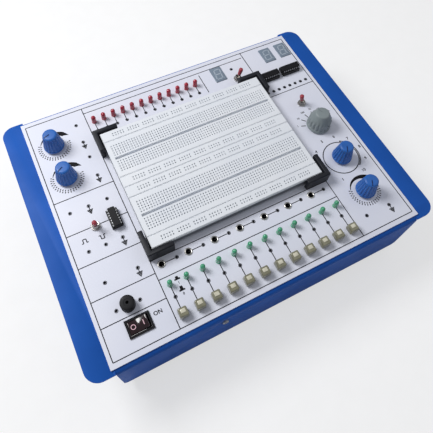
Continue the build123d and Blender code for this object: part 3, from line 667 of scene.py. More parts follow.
# ---------------------------------------------------------------- geometry node recipes
class Recipe:
    """A Geometry Nodes tree that is run once on a carrier mesh."""

    def __init__(self, name: str) -> None:
        """Starts a tree with a geometry input and output and a Finish input.

        Args:
            name: the tree's name.
        """
        self.tree = bpy.data.node_groups.new(name, "GeometryNodeTree")
        for way in ("INPUT", "OUTPUT"):
            self.tree.interface.new_socket("Geometry", in_out=way, socket_type="NodeSocketGeometry")
        self.keys: dict[str, str] = {}
        self.declare("Material", "Finish")
        self.entry = add_node(self.tree, "NodeGroupInput")

    def declare(self, kind: str, *names: str) -> None:
        """Adds named inputs of one kind to the tree."""
        for name in names:
            made = self.tree.interface.new_socket(name, in_out="INPUT", socket_type=f"NodeSocket{kind}")
            self.keys[name] = made.identifier

    def size(self, name: str) -> Wire:
        """The socket of a named input."""
        return self.entry.outputs[name]

    def node(self, kind: str, links: Any = None, values: Any = None, **settings: Any) -> Wire:
        """Adds a node as add_node does and gives its first output."""
        return add_node(self.tree, kind, links, values, **settings).outputs[0]

    def math(self, operation: str, *terms: Any) -> Wire:
        """Adds a Math node over sockets and numbers and gives its output."""
        links = {index: term for index, term in enumerate(terms) if isinstance(term, Wire)}
        values = {index: term for index, term in enumerate(terms) if index not in links}
        return self.node("ShaderNodeMath", links, values, operation=operation)

    def line(self, count: Wire, first: Wire, step: Wire) -> Wire:
        """Points along a straight line."""
        links = {"Count": count, "Start Location": first, "Offset": step}
        return self.node("GeometryNodeMeshLine", links, mode="OFFSET")

    def copies(self, points: Wire, shape: Wire | None = None, **more: Wire) -> Wire:
        """Copies a shape, or else the carrier, to points."""
        links = {"Points": points, "Instance": shape or self.size("Geometry"), **more}
        return self.node("GeometryNodeInstanceOnPoints", links)

    def centred(self, shape: Wire) -> Wire:
        """Moves a shape to the Centre input."""
        return self.node("GeometryNodeTransform", {"Geometry": shape, "Translation": self.size("Centre")})

    def end(self, shape: Wire, weld: float = 0.0) -> None:
        """Ends the tree in plain geometry with its material.

        Args:
            shape: the geometry so far.
            weld: distance in metres under which corners merge, or 0.
        """
        plain = self.node("GeometryNodeRealizeInstances", {"Geometry": shape})
        if weld:
            plain = self.node("GeometryNodeMergeByDistance", {"Geometry": plain}, {"Distance": weld})
        dressed = self.node("GeometryNodeSetMaterial", {"Geometry": plain, "Material": self.size("Finish")})
        add_node(self.tree, "NodeGroupOutput", {0: dressed})

    def run(self, name: str, carrier: Form, material: Material, **values: Any) -> Object:
        """Runs the tree and keeps its result as a plain mesh.

        Args:
            name: the new object's name.
            carrier: the form that the tree starts from.
            material: the finish of the result.
            values: the tree's inputs by name.

        Returns:
            The object, with no modifier left on it.
        """
        piece = make_object(name, carrier.to_mesh(name))
        modifier = piece.modifiers.new(self.tree.name, "NODES")
        modifier.node_group = self.tree
        modifier[self.keys["Finish"]] = material
        for key, value in values.items():
            modifier[self.keys[key]] = value
        settle(piece)
        smooth(piece.data)
        return piece


class RowRecipe(Recipe):
    """Copies the carrier along a straight line."""

    def __init__(self) -> None:
        """Builds the tree."""
        super().__init__("row_of_copies")
        self.declare("Int", "Count")
        self.declare("Vector", "First", "Step")
        self.end(self.copies(self.line(self.size("Count"), self.size("First"), self.size("Step"))))


class SpotRecipe(Recipe):
    """Copies the carrier to every corner of a mesh of spots."""

    def __init__(self) -> None:
        """Builds the tree."""
        super().__init__("copies_on_spots")
        self.declare("Object", "Spots")
        spots = add_node(self.tree, "GeometryNodeObjectInfo", {"Object": self.size("Spots")})
        self.end(self.copies(spots.outputs["Geometry"]))


class HoleRecipe(Recipe):
    """A field of square contact holes: groups of columns and rows of tiles that each hold one hole."""

    def __init__(self) -> None:
        """Builds the tree."""
        super().__init__("perforated_field")
        self.declare("Float", "Pitch", "Mouth", "Hole", "Lead In", "Depth", "Group Step")
        self.declare("Int", "Columns", "Rows", "Groups")
        self.declare("Vector", "Centre")
        sides = {"Size X": self.size("Pitch"), "Size Y": self.size("Pitch")}
        tile = self.node("GeometryNodeMeshGrid", sides, {"Vertices X": 2, "Vertices Y": 2})
        tile, top = self.extrude(tile, None, None)
        tile = self.shrink(tile, top, "Mouth", "Pitch")
        tile, top = self.extrude(tile, top, "Lead In")
        tile = self.shrink(tile, top, "Hole", "Mouth")
        tile, top = self.extrude(tile, top, "Depth")
        group = self.copies(self.point_grid(), tile)
        self.end(self.centred(self.copies(self.group_line(), group)), weld=0.002 * MM)

    def extrude(self, shape: Wire, top: Wire | None, depth: str | None) -> tuple[Wire, Wire]:
        """Extrudes faces downwards.

        Args:
            shape: the tile so far.
            top: selection of the faces, or None for all of them.
            depth: the input that says how far, or None for no distance.

        Returns:
            The new shape, and the selection of the moved faces.
        """
        links = {"Mesh": shape}
        values = {"Individual": True}
        if top:
            links["Selection"] = top
        if depth:
            links["Offset Scale"] = self.math("MULTIPLY", self.size(depth), -1.0)
        else:
            values["Offset Scale"] = 0.0
        node = add_node(self.tree, "GeometryNodeExtrudeMesh", links, values, mode="FACES")
        return node.outputs["Mesh"], node.outputs["Top"]

    def shrink(self, shape: Wire, top: Wire, small: str, large: str) -> Wire:
        """Scales the moved faces by the ratio of two inputs."""
        ratio = self.math("DIVIDE", self.size(small), self.size(large))
        links = {"Geometry": shape, "Selection": top, "Scale": ratio}
        return self.node("GeometryNodeScaleElements", links, domain="FACE")

    def point_grid(self) -> Wire:
        """Points at the hole centres of one group."""
        links = {"Vertices X": self.size("Columns"), "Vertices Y": self.size("Rows")}
        for axis, count in (("X", "Columns"), ("Y", "Rows")):
            gaps = self.math("SUBTRACT", self.size(count), 1.0)
            links[f"Size {axis}"] = self.math("MULTIPLY", gaps, self.size("Pitch"))
        return self.node("GeometryNodeMeshGrid", links)

    def group_line(self) -> Wire:
        """Points at the middle of each group."""
        gaps = self.math("SUBTRACT", self.size("Groups"), 1.0)
        start = self.math("MULTIPLY", self.math("MULTIPLY", gaps, self.size("Group Step")), -0.5)
        first, step = (self.node("ShaderNodeCombineXYZ", {"X": x}) for x in (start, self.size("Group Step")))
        return self.line(self.size("Groups"), first, step)


class TickRecipe(Recipe):
    """Copies the carrier round a dial, turned to point outwards."""

    def __init__(self) -> None:
        """Builds the tree."""
        super().__init__("dial_ticks")
        self.declare("Int", "Count")
        self.declare("Float", "Radius", "Start", "Sweep")
        self.declare("Vector", "Centre")
        count = self.size("Count")
        points = self.node("GeometryNodeMeshLine", {"Count": count}, {"Offset": (0, 0, 0)}, mode="OFFSET")
        share = self.math("DIVIDE", self.node("GeometryNodeInputIndex"), self.math("SUBTRACT", count, 1.0))
        angle = self.math("MULTIPLY_ADD", share, self.size("Sweep"), self.size("Start"))
        heading = self.node("ShaderNodeCombineXYZ", {"Z": angle})
        reach = self.node("ShaderNodeCombineXYZ", {"X": self.size("Radius")})
        links = {"Vector": reach, "Rotation": heading}
        arm = self.node("ShaderNodeVectorRotate", links, rotation_type="EULER_XYZ")
        moved = self.node("GeometryNodeSetPosition", {"Geometry": points, "Offset": arm})
        self.end(self.centred(self.copies(moved, Rotation=heading)))


class FluteRecipe(Recipe):
    """Presses rounded flutes into the side of a turned body."""

    def __init__(self) -> None:
        """Builds the tree."""
        super().__init__("moulded_flutes")
        self.declare("Float", "Flutes", "Depth", "Inside", "Low", "High")
        place = self.node("GeometryNodeInputPosition")
        x, y, z = add_node(self.tree, "ShaderNodeSeparateXYZ", {0: place}).outputs
        wave = self.math("COSINE", self.math("MULTIPLY", self.math("ARCTAN2", y, x), self.size("Flutes")))
        dent = self.math("POWER", self.math("MULTIPLY_ADD", wave, 0.5, 0.5), 1.5)
        flat = self.node("ShaderNodeCombineXYZ", {"X": x, "Y": y})
        radius = add_node(self.tree, "ShaderNodeVectorMath", {0: flat}, operation="LENGTH").outputs["Value"]
        outer = self.math("GREATER_THAN", radius, self.size("Inside"))
        above = self.math("GREATER_THAN", z, self.size("Low"))
        below = self.math("LESS_THAN", z, self.size("High"))
        mask = self.math("MULTIPLY", outer, self.math("MULTIPLY", above, below))
        push = self.math("MULTIPLY", self.math("MULTIPLY", dent, mask), self.size("Depth"))
        inward = self.node("ShaderNodeVectorMath", {0: flat}, operation="NORMALIZE")
        links = {0: inward, "Scale": self.math("MULTIPLY", push, -1.0)}
        offset = self.node("ShaderNodeVectorMath", links, operation="SCALE")
        links = {"Geometry": self.size("Geometry"), "Offset": offset}
        self.end(self.node("GeometryNodeSetPosition", links))


# ---------------------------------------------------------------- sub-assemblies
@dataclass
class Assembly:
    """What every sub-assembly is given."""

    frame: dict[str, Any]
    palette: Palette

    def stock(self, stock: Stock) -> Material:
        """The material of a finish."""
        return self.palette.get(stock)

    def dress(self, stock: Stock, *nodes: str) -> None:
        """Gives CAD nodes that stay in view their finish."""
        for node in nodes:
            for holder in self.frame["nodes"][node].material_slots:
                holder.material = self.stock(stock)

    def show(
        self, name: str, form: Form, stock: Stock, slot: str, *nodes: str, body: str = CASE, crease: float = 38.0
    ) -> None:
        """Makes a piece from a form and hands it over.

        Args:
            name: the piece's name.
            form: its shape, in place.
            stock: its finish.
            slot: the record's material slot.
            nodes: CAD nodes that it stands for.
            body: the CAD body that it rides on.
            crease: angle in degrees past which an edge stays sharp.
        """
        publish(finish_form(name, form, self.stock(stock), crease), body, slot, *nodes)

    def scatter(self, name: str, form: Form, stock: Stock, slot: str, spots: Iterable[Triple], *nodes: str) -> None:
        """Hands over a piece that copies a form to a list of spots.

        Args:
            name: the piece's name.
            form: the form that is copied.
            stock: its finish.
            slot: the record's material slot.
            spots: where the copies go.
            nodes: CAD nodes that it stands for.
        """
        marks = Form()
        marks.ring(spots)
        holder = make_object("spots", marks.to_mesh("spots"))
        piece = SpotRecipe().run(name, form, self.stock(stock), Spots=holder)
        bpy.data.objects.remove(holder)
        publish(piece, CASE, slot, *nodes)

    def row(
        self, name: str, form: Form, stock: Stock, slot: str, count: int, first: Triple, step: Triple, *nodes: str
    ) -> None:
        """Hands over a piece that copies a form along a line.

        Args:
            name: the piece's name.
            form: the form that is copied.
            stock: its finish.
            slot: the record's material slot.
            count: how many copies.
            first: place of the first one.
            step: way from one to the next.
            nodes: CAD nodes that it stands for.
        """
        places = {"First": tuple(Vector(first) * MM), "Step": tuple(Vector(step) * MM)}
        publish(RowRecipe().run(name, form, self.stock(stock), Count=count, **places), CASE, slot, *nodes)

    def soften(self, stock: Stock, node: str, name: str, slot: str, bevel: float, body: str = CASE) -> None:
        """Stands in for a CAD node with a copy whose faces are joined and sharp edges rounded.

        Args:
            stock: the finish.
            node: the CAD node.
            name: the new piece's name.
            slot: the record's material slot.
            bevel: radius of the edges.
            body: the body that it rides on.
        """
        work = bmesh.new()
        work.from_mesh(self.frame["nodes"][node].data)
        bmesh.ops.remove_doubles(work, verts=work.verts[:], dist=0.005 * MM)
        bmesh.ops.dissolve_limit(
            work, angle_limit=radians(0.5), verts=work.verts[:], edges=work.edges[:], use_dissolve_boundaries=False
        )
        paired = [edge for edge in work.edges if len(edge.link_faces) == 2 and edge.calc_face_angle() > radians(50)]
        sharp = [edge for edge in paired if edge.calc_length() > 2 * bevel * MM]
        bmesh.ops.bevel(
            work, geom=sharp, offset=bevel * MM, segments=2, profile=0.5, affect="EDGES", clamp_overlap=True
        )
        mesh = bpy.data.meshes.new(name)
        work.to_mesh(mesh)
        work.free()
        mesh.materials.append(self.stock(stock))
        smooth(mesh, 32.0)
        publish(make_object(name, mesh), body, slot, node)


@dataclass
class SteelCase(Assembly):
    """Folded cover, tray, feet and screws."""

    edge: float = 0.35
    foot_lip: float = 0.8
    foot_dimple: float = 3.2
    head_round: float = 0.6
    slot_width: float = 0.9
    slot_depth: float = 0.7
    side_gap: float = 0.4
    relief: Triple = (1.5, 4.0, 1.6)

    def build(self) -> None:
        """Builds the case."""
        self.soften(Stock.BLUE_COAT, "cover", "folded_cover", "blue_powder_coat", self.edge)
        # Painted shade: the tray gets the blue coat darkened to navy, for the shade on the box's lower walls.
        self.soften(Stock.NAVY_COAT, "chassis", "folded_tray", "grey_sheet", self.edge)
        self.build_welds()
        self.build_feet()
        self.build_screws()

    def build_welds(self) -> None:
        """Ground welds that close the bend reliefs at the four corners."""
        cover = Region.of("cover")
        side = Region.of("chassis").high.x + self.side_gap
        width, length, sheet = self.relief
        spots = [
            (sign_x * (side + width / 2), sign_y * (cover.high.y - length / 2), cover.high.z - sheet / 2)
            for sign_x in (-1, 1)
            for sign_y in (-1, 1)
        ]
        weld = block((width, length, sheet), bevel=0.15)
        self.scatter("ground_corner_welds", weld, Stock.BLUE_COAT, "blue_powder_coat", spots)

    def build_feet(self) -> None:
        """Four turned rubber feet with a rounded lip and a recess for their screw."""
        feet = solids(self.frame, "rubber_feet")
        height = feet[0].size.z
        radius = feet[0].size.x / 2
        flat = radius - 1.5
        profile = [(0, 2.5), (self.foot_dimple, 2.5), (self.foot_dimple, 0.3), (self.foot_dimple + 0.3, 0)]
        profile += [(flat - self.foot_lip, 0), (flat, self.foot_lip), (radius, height), (0, height)]
        spots = [(box.centre.x, box.centre.y, box.low.z) for box in feet]
        self.scatter("turned_rubber_feet", lathe(profile, 40), Stock.RUBBER, "black_rubber", spots, "rubber_feet")

    def screw(self, radius: float, head: float, shank: float, length: float) -> Form:
        """A cheese-head screw along Z, with a driver slot in its head.

        Args:
            radius: the head's.
            head: its height.
            shank: radius of the shank.
            length: length of the shank.

        Returns:
            The form, with its head's seat at the origin.
        """
        profile = [(0, -length), (shank, -length), (shank, 0), (radius, 0), (radius, head - self.head_round)]
        profile += [(radius - self.head_round, head), (0, head)]
        slot = block((3 * radius, self.slot_width, 2 * self.slot_depth), (0, 0, head), 0)
        return reclaim(carve("screw_blank", lathe(profile, 24), slot, self.stock(Stock.ZINC)))

    def build_screws(self) -> None:
        """Screws of the front and rear flaps and of the inlet."""
        head, radius = 1.8, 3.0
        slotted = self.screw(radius, head, 1.5, 8.0)
        case, inlet = Region.of("case_screws"), Region.of("inlet_screws")
        front = shift(-52.5, case.low.y + head, case.centre.z) @ turn(90, "X") @ turn(28)
        jobs = [("front_flap_screw", front, 1, 0.0, ("case_screws",))]
        for name, box, angle, nodes in (
            ("rear_flap_screws", case, 40, ()),
            ("inlet_flange_screws", inlet, 15, ("inlet_screws",)),
        ):
            place = shift(box.low.x + radius, box.high.y - head, box.centre.z) @ turn(-90, "X") @ turn(angle)
            jobs.append((name, place, 2, box.size.x - 2 * radius, nodes))
        for name, place, count, gap, nodes in jobs:
            screw = slotted.placed(place)
            self.row(name, screw, Stock.ZINC, "screw_steel", count, (0, 0, 0), (gap, 0, 0), *nodes)


@dataclass
class Breadboard(Assembly):
    """Solderless board: two terminal strips, four bus strips, a plate and corner brackets."""

    pitch: float = 2.54
    columns: int = 64
    rows: int = 5
    group_columns: int = 5
    groups: int = 10
    group_pitches: int = 6
    hole: float = 0.95
    mouth: float = 1.45
    lead_in: float = 0.35
    depth: float = 4.2
    bus_width: float = 11.2
    seam: float = 0.12
    edge: float = 0.6
    groove: float = 2.6
    groove_depth: float = 3.2
    holes: HoleRecipe = field(default_factory=HoleRecipe)

    def build(self) -> None:
        """Builds the board."""
        plate_box = Region.of("board_back_plate")
        self.middle = plate_box.centre
        self.low_x = plate_box.low.x
        self.high_x = plate_box.high.x
        self.base = plate_box.high.z
        self.top = Region.of("terminal_strips").high.z
        terminal = (plate_box.size.y - 4 * self.bus_width) / 2
        widths = [self.bus_width, terminal, self.bus_width, self.bus_width, terminal, self.bus_width]
        names = ["front_bus", "front_terminal", "lower_middle_bus", "upper_middle_bus", "rear_terminal", "rear_bus"]
        low = plate_box.low.y
        for width, name in zip(widths, names):
            if width > self.bus_width:
                self.build_terminal(f"{name}_strip", low, low + width)
            else:
                self.build_bus(f"{name}_strip", low, low + width)
            low += width
        self.dress(Stock.PLATE, "board_back_plate")
        self.soften(Stock.BRACKET, "board_brackets", "corner_brackets", "bracket_black", 0.5)

    def field_of_holes(self, y: float, columns: int, rows: int, groups: int) -> Form:
        """A field of contact holes, made by the recipe.

        Args:
            y: its middle.
            columns: holes along X in one group.
            rows: holes along Y.
            groups: how many groups.

        Returns:
            The field, level with the strip's top.
        """
        lengths = {"Pitch": self.pitch, "Mouth": self.mouth, "Hole": self.hole, "Lead In": self.lead_in}
        lengths |= {"Depth": self.depth, "Group Step": self.group_pitches * self.pitch}
        values: dict[str, Any] = {key: length * MM for key, length in lengths.items()}
        values |= {"Columns": columns, "Rows": rows, "Groups": groups}
        values["Centre"] = (self.middle.x * MM, y * MM, self.top * MM)
        return reclaim(self.holes.run("field", Form(), self.stock(Stock.BOARD), **values))

    def shell(self, xs: list[float], ys: list[float], levels: dict[Point, float | None]) -> Form:
        """A strip's body whose top is a grid of cells at several levels.

        Args:
            xs: grid lines along X, from edge to edge.
            ys: grid lines along Y.
            levels: depth of a cell by its column and row; None where a field of holes fills it.

        Returns:
            The form, open only at the fields.
        """
        form = Form()
        found: dict[tuple[int, int, float], int] = {}

        def corner(column: int, row: int, depth: float) -> int:
            """The number of a grid corner at a depth, which is added once."""
            key = (column, row, depth)
            if key not in found:
                found[key] = form.ring([(xs[column], ys[row], self.top - depth)])[0]
            return found[key]

        last_column, last_row = len(xs) - 1, len(ys) - 1
        for column in range(last_column):
            for row in range(last_row):
                depth = levels.get((column, row), 0.0)
                if depth is None:
                    continue
                square = ((column, row), (column + 1, row), (column + 1, row + 1), (column, row + 1))
                form.faces.append(tuple(corner(*spot, depth) for spot in square))
                for step_x, step_y, first, second in ((1, 0, *square[1:3]), (0, 1, *square[2:4])):
                    beside = levels.get((column + step_x, row + step_y), 0.0)
                    inside = column + step_x < last_column and row + step_y < last_row
                    if inside and beside is not None and beside != depth:
                        wall = ((first, depth), (first, beside), (second, beside), (second, depth))
                        form.faces.append(tuple(corner(*spot, level) for spot, level in wall))
        rim = [(column, 0) for column in range(last_column)]
        rim += [(last_column, row) for row in range(last_row)]
        rim += [(column, last_row) for column in range(last_column, 0, -1)]
        rim += [(0, row) for row in range(last_row, 0, -1)]
        upper = [corner(*spot, 0.0) for spot in rim]
        for drop in (self.edge, self.top - self.base):
            points = []
            for column, row in rim:
                out_x = (column == last_column) - (column == 0)
                out_y = (row == last_row) - (row == 0)
                points.append((xs[column] + out_x * self.edge, ys[row] + out_y * self.edge, self.top - drop))
            lower = form.ring(points)
            form.skin(lower, upper)
            upper = lower
        form.faces.append(tuple(upper[::-1]))
        return form

    def edges(self, low: float, high: float) -> tuple[float, float]:
        """The outer grid lines of a strip between two sides, inside its seam and rounded edge."""
        inset = self.seam + self.edge
        return low + inset, high - inset

    def build_terminal(self, name: str, low: float, high: float) -> None:
        """Builds one terminal strip, with a groove between its two fields.

        Args:
            name: the piece's name.
            low: its front side.
            high: its rear side.
        """
        middle = (low + high) / 2
        left = self.middle.x - self.columns * self.pitch / 2
        first, last = self.edges(self.low_x, self.high_x)
        xs = [first] + [left + index * self.pitch for index in range(self.columns + 1)] + [last]
        near = [middle + self.groove / 2] + [middle + (1 + index) * self.pitch for index in range(self.rows + 1)]
        front, rear = self.edges(low, high)
        ys = [front] + [2 * middle - y for y in reversed(near)] + near + [rear]
        groove_row = self.rows + 2
        levels: dict[Point, float | None] = {}
        for column in range(1, self.columns + 1):
            levels[(column, groove_row)] = self.groove_depth
            for row in range(1, self.rows + 1):
                levels[(column, row)] = None
                levels[(column, groove_row + 1 + row)] = None
        strip = self.shell(xs, ys, levels)
        offset = (1 + self.rows / 2) * self.pitch
        for side in (-1, 1):
            strip.add(self.field_of_holes(middle + side * offset, self.columns, self.rows, 1))
        self.show(name, strip, Stock.BOARD, "board_white", "terminal_strips", crease=30.0)

    def build_bus(self, name: str, low: float, high: float) -> None:
        """Builds one bus strip with its groups of holes.

        Args:
            name: the piece's name.
            low: its front side.
            high: its rear side.
        """
        middle = (low + high) / 2
        first, last = self.edges(self.low_x, self.high_x)
        xs = [first]
        levels: dict[Point, float | None] = {}
        for group in spread(self.groups, self.group_pitches * self.pitch, self.middle.x):
            for column in range(len(xs), len(xs) + self.group_columns):
                levels[(column, 1)] = levels[(column, 2)] = None
            xs += [group + (index - self.group_columns / 2) * self.pitch for index in range(self.group_columns + 1)]
        xs.append(last)
        front, rear = self.edges(low, high)
        strip = self.shell(xs, [front, middle - self.pitch, middle, middle + self.pitch, rear], levels)
        strip.add(self.field_of_holes(middle, self.group_columns, 2, self.groups))
        self.show(name, strip, Stock.BOARD, "board_white", "bus_strips", crease=30.0)


@dataclass
class Lamps(Assembly):
    """The rows of red and green lamps."""

    count: int = 12
    dome_steps: int = 7
    seat: float = 0.5

    def build(self) -> None:
        """Builds both rows."""
        for node, name, stock, slot in (
            ("red_leds", "red_lamp_row", Stock.RED_LENS, "red_lens"),
            ("green_leds", "green_lamp_row", Stock.GREEN_LENS, "green_lens"),
        ):
            box = Region.of(node)
            radius = box.size.y / 2
            step = (box.size.x - 2 * radius) / (self.count - 1)
            first = (box.low.x + radius, box.centre.y, box.low.z)
            self.row(name, self.lamp(radius, box.size.z), stock, slot, self.count, first, (step, 0, 0), node)

    def lamp(self, radius: float, height: float) -> Form:
        """One domed lamp of a radius and height that stands at the origin."""
        body = radius * 0.93
        profile = [(0, 0), (radius, 0), (radius, self.seat), (body, self.seat + 0.15)]
        for index in range(self.dome_steps):
            angle = pi / 2 * index / self.dome_steps
            profile.append((body * cos(angle), height - radius + radius * sin(angle)))
        return lathe([*profile, (0, height)], 24)


@dataclass
class Sockets(Assembly):
    """Small wire sockets and the row of banana sockets."""

    rim_radius: float = 1.75
    rim_inner: float = 0.95
    rim_height: float = 0.22
    throat: float = 0.45
    throat_depth: float = 3.5
    banana_bore: float = 2.0
    banana_depth: float = 13.0

    def build(self) -> None:
        """Builds both kinds."""
        self.panel = Region.of("panel_board").high.z
        self.build_small()
        self.build_banana()

    def build_small(self) -> None:
        """Housings under the board, each with a throat and a metal rim round it."""
        housings = solids(self.frame, "mini_sockets")
        spots = [(box.centre.x, box.centre.y, 0) for box in housings]
        side = housings[0].size.x
        low, high = housings[0].low.z, housings[0].high.z
        body = block((side, side, high - low), (0, 0, (low + high) / 2), 0.25)
        top, end = self.panel + 0.04, self.panel + 0.04 - self.throat_depth
        neck = [(0, high - 1), (1.3, high - 1), (1.3, top), (self.rim_inner, top)]
        neck += [(self.throat, top - 0.7), (self.throat, end), (0, end)]
        body.add(lathe(neck, 16))
        self.scatter("small_socket_housings", body, Stock.SOCKET, "socket_black", spots, "mini_sockets")
        height = self.rim_height
        ring = [
            (self.rim_inner, -0.3), (1.35, -0.3), (1.35, 0), (self.rim_radius, 0), (self.rim_radius, height * 0.5),
            (self.rim_radius - 0.2, height), (self.rim_inner + 0.15, height), (self.rim_inner, height * 0.6),
        ]
        rim = lathe([(radius, self.panel + level) for radius, level in ring], 20)
        self.scatter("small_socket_rims", rim, Stock.RIM, "nickel", spots)

    def build_banana(self) -> None:
        """Plated barrels with a rounded flange, and the dark liner that shows in each bore."""
        barrels = solids(self.frame, "banana_sockets")
        first, last = barrels[0], barrels[-1]
        radius, bore = first.size.x / 2, self.banana_bore
        low, top = first.low.z, first.high.z
        profile = [
            (bore + 0.35, low), (radius - 0.6, low), (radius - 0.6, self.panel), (radius, self.panel),
            (radius, self.panel + (top - self.panel) * 0.55), (radius - 0.15, top - 0.18), (radius - 0.5, top),
            (bore + 0.75, top), (bore + 0.35, top - 0.3),
        ]
        end = top - self.banana_depth
        liner = [(0, low + 0.6), (bore + 0.33, low + 0.6), (bore + 0.33, top - 0.25), (bore, top - 0.45)]
        liner += [(bore, end), (0, end)]
        step = ((last.centre.x - first.centre.x) / (len(barrels) - 1), 0, 0)
        places = (len(barrels), (first.centre.x, first.centre.y, 0), step)
        self.row("banana_socket_barrels", lathe(profile, 32), Stock.NICKEL, "nickel", *places, "banana_sockets")
        self.row("banana_socket_liners", lathe(liner, 24), Stock.SOCKET, "socket_black", *places)


@dataclass
class Dial:
    """The printed scale round one rotary control, in millimetres and degrees."""

    centre: Vector
    inner_ticks: float = 11.9
    outer_ticks: float = 13.9
    tick: float = 1.5
    wedge_inner: float = 13.0
    wedge_outer: float = 17.6
    wedge_start: float = 155.0
    wedge_end: float = 25.0
    wedge_slant: float = 18.0


@dataclass
class PanelPrint(Assembly):
    """Lines, scales and symbols that are printed on the panel."""

    border_x: float = 145.0
    border_y: float = 118.0
    line: float = 0.75
    column_x: float = -89.0
    right_x: float = 90.0
    top_column_x: float = 92.0
    title_y: float = 111.5
    lamp_box_x: float = 37.0
    left_rules: tuple[float, ...] = (28.0, -6.5, -37.6, -68.3, -91.0)
    board_rule_y: float = -57.0
    lamp_rule_y: float = -75.0
    right_rule_y: float = 51.0
    ring_radius: float = 17.0
    ring_width: float = 0.9
    number_radius: float = 24.3
    number_height: float = 3.0
    selector_tick: tuple[float, float] = (12.6, 17.5)
    selector_step: float = 26.0
    selector_first: float = 30.0
    tick_width: float = 0.85

    def build(self) -> None:
        """Builds every print."""
        self.top = Region.of("panel_board").high.z
        self.small = [box.centre for box in solids(self.frame, "mini_sockets")]
        self.dress(Stock.LABEL, "panel_board")
        rules = Form()
        self.draw_frames(rules)
        self.draw_links(rules)
        self.draw_symbols(rules)
        self.draw_scales(rules)
        self.show("printed_rules_and_symbols", rules, Stock.INK, "panel_white")
        self.build_ticks()

    def patch(self, outline: Sequence[Point]) -> Form:
        """A patch of ink on the panel."""
        return plate(outline, self.top - INK_SINK, self.top + INK_THICKNESS)

    def rule(self, form: Form, start: Point, end: Point, width: float = 0.0) -> None:
        """Draws a straight line.

        Args:
            form: the print that gets it.
            start: where it starts.
            end: where it ends.
            width: its width, or 0 for the usual one.
        """
        along = Vector(end) - Vector(start)
        side = Vector((-along.y, along.x)).normalized() * (width or self.line) / 2
        corners = [Vector(start) - side, Vector(end) - side, Vector(end) + side, Vector(start) + side]
        form.add(self.patch([tuple(corner) for corner in corners]))

    def chain(self, form: Form, points: Sequence[Point], width: float = 0.0) -> None:
        """Draws straight lines from point to point."""
        for start, end in zip(points, points[1:]):
            self.rule(form, start, end, width)

    def band(self, form: Form, centre: Vector, start: float, end: float, inner: Point, outer: Point) -> None:
        """Draws a curved band between two radii that may change along it.

        Args:
            form: the print that gets it.
            centre: centre of the curve.
            start: its first angle in degrees.
            end: its last angle.
            inner: inner radius at its start and at its end.
            outer: outer radius at its start and at its end.
        """
        steps = max(6, int(abs(end - start) / 5))

        def spot(index: int, radii: Point) -> Point:
            """The corner at a step between two radii."""
            share = index / steps
            angle = radians(start + (end - start) * share)
            radius = radii[0] + (radii[1] - radii[0]) * share
            return centre.x + radius * cos(angle), centre.y + radius * sin(angle)

        for index in range(steps):
            places = ((index, inner), (index, outer), (index + 1, outer), (index + 1, inner))
            corners = [spot(*place) for place in places]
            form.add(self.patch(corners[::-1] if end < start else corners))

    def draw_frames(self, form: Form) -> None:
        """The border and the lines that part the panel into sections."""
        x, y = self.border_x, self.border_y
        self.chain(form, [(-x, -y), (x, -y), (x, y), (-x, y), (-x, -y)])
        self.rule(form, (self.column_x, -y), (self.column_x, y))
        for height in self.left_rules:
            self.rule(form, (-x, height), (self.column_x, height))
        self.rule(form, (self.column_x, self.title_y), (self.right_x, self.title_y))
        board = Region.of("board_back_plate")
        self.rule(form, (self.lamp_box_x, self.title_y - 3), (self.lamp_box_x, board.high.y + 10))
        self.rule(form, (self.top_column_x, y), (self.top_column_x, self.right_rule_y))
        self.rule(form, (self.top_column_x, self.right_rule_y), (x, self.right_rule_y))
        self.rule(form, (self.right_x, self.board_rule_y), (self.right_x, -y))
        for height in (self.board_rule_y, self.lamp_rule_y):
            self.rule(form, (self.column_x, height), (self.right_x, height))

    def nearest(self, place: Vector) -> Vector:
        """Centre of the small socket that is nearest to a place."""
        return min(self.small, key=lambda spot: (spot.xy - place.xy).length)

    def draw_links(self, form: Form) -> None:
        """Lines from each lamp, switch and banana socket to its small socket."""
        for node in ("red_leds", "green_leds", "push_switches"):
            for box in solids(self.frame, node):
                self.rule(form, box.centre.xy, self.nearest(box.centre).xy)
        for barrel in solids(self.frame, "banana_sockets"):
            x, y = barrel.centre.xy
            near = min((spot for spot in self.small if spot.x > x and abs(spot.y - y) < 1), key=lambda spot: spot.x)
            self.rule(form, (x, y), near.xy)

    def draw_symbols(self, form: Form) -> None:
        """Ground signs, pulse signs and the marks beside the first switch."""
        for place in ((-100, 80), (-100, 40), (-118, 14), (-101, -27), (-100, -57), (130, -103)):
            near = self.nearest(Vector(place))
            self.draw_ground(form, near.x, near.y)
        self.draw_pulse(form, -131.8, -18.0, 1)
        self.draw_pulse(form, -116.7, -17.0, -1)
        for y, text, head in ((-81.3, "1", 1.0), (-91.3, "0", 0.0)):
            form.add(self.patch([(-77.2, y), (-72.0, y), (-72.0, y + 1.3), (-77.2, y + 1.3)]))
            top = y + 3.3 + (1 - head)
            form.add(self.patch([(-76.1, y + 1.3), (-73.1, y + 1.3), (-73.5, top), (-75.7, top)]))
            form.add(lettering(text, 2.2, shift(-74.6, y - 2.6, self.top)))
        rocker = Region.of("rocker_frame")
        form.add(lettering("ON", 3.4, shift(rocker.high.x + 6.4, rocker.centre.y + 2.5, self.top)))

    def draw_ground(self, form: Form, x: float, y: float) -> None:
        """A ground sign in front of a socket.

        Args:
            form: the print that gets it.
            x: the socket's place.
            y: the socket's place.
        """
        self.rule(form, (x, y), (x, y - 4.0), 0.7)
        for index in range(5):
            half = 2.7 * (1 - index / 5)
            level = y - 4.0 - index * 0.95
            self.rule(form, (x - half, level), (x + half, level), 0.8)

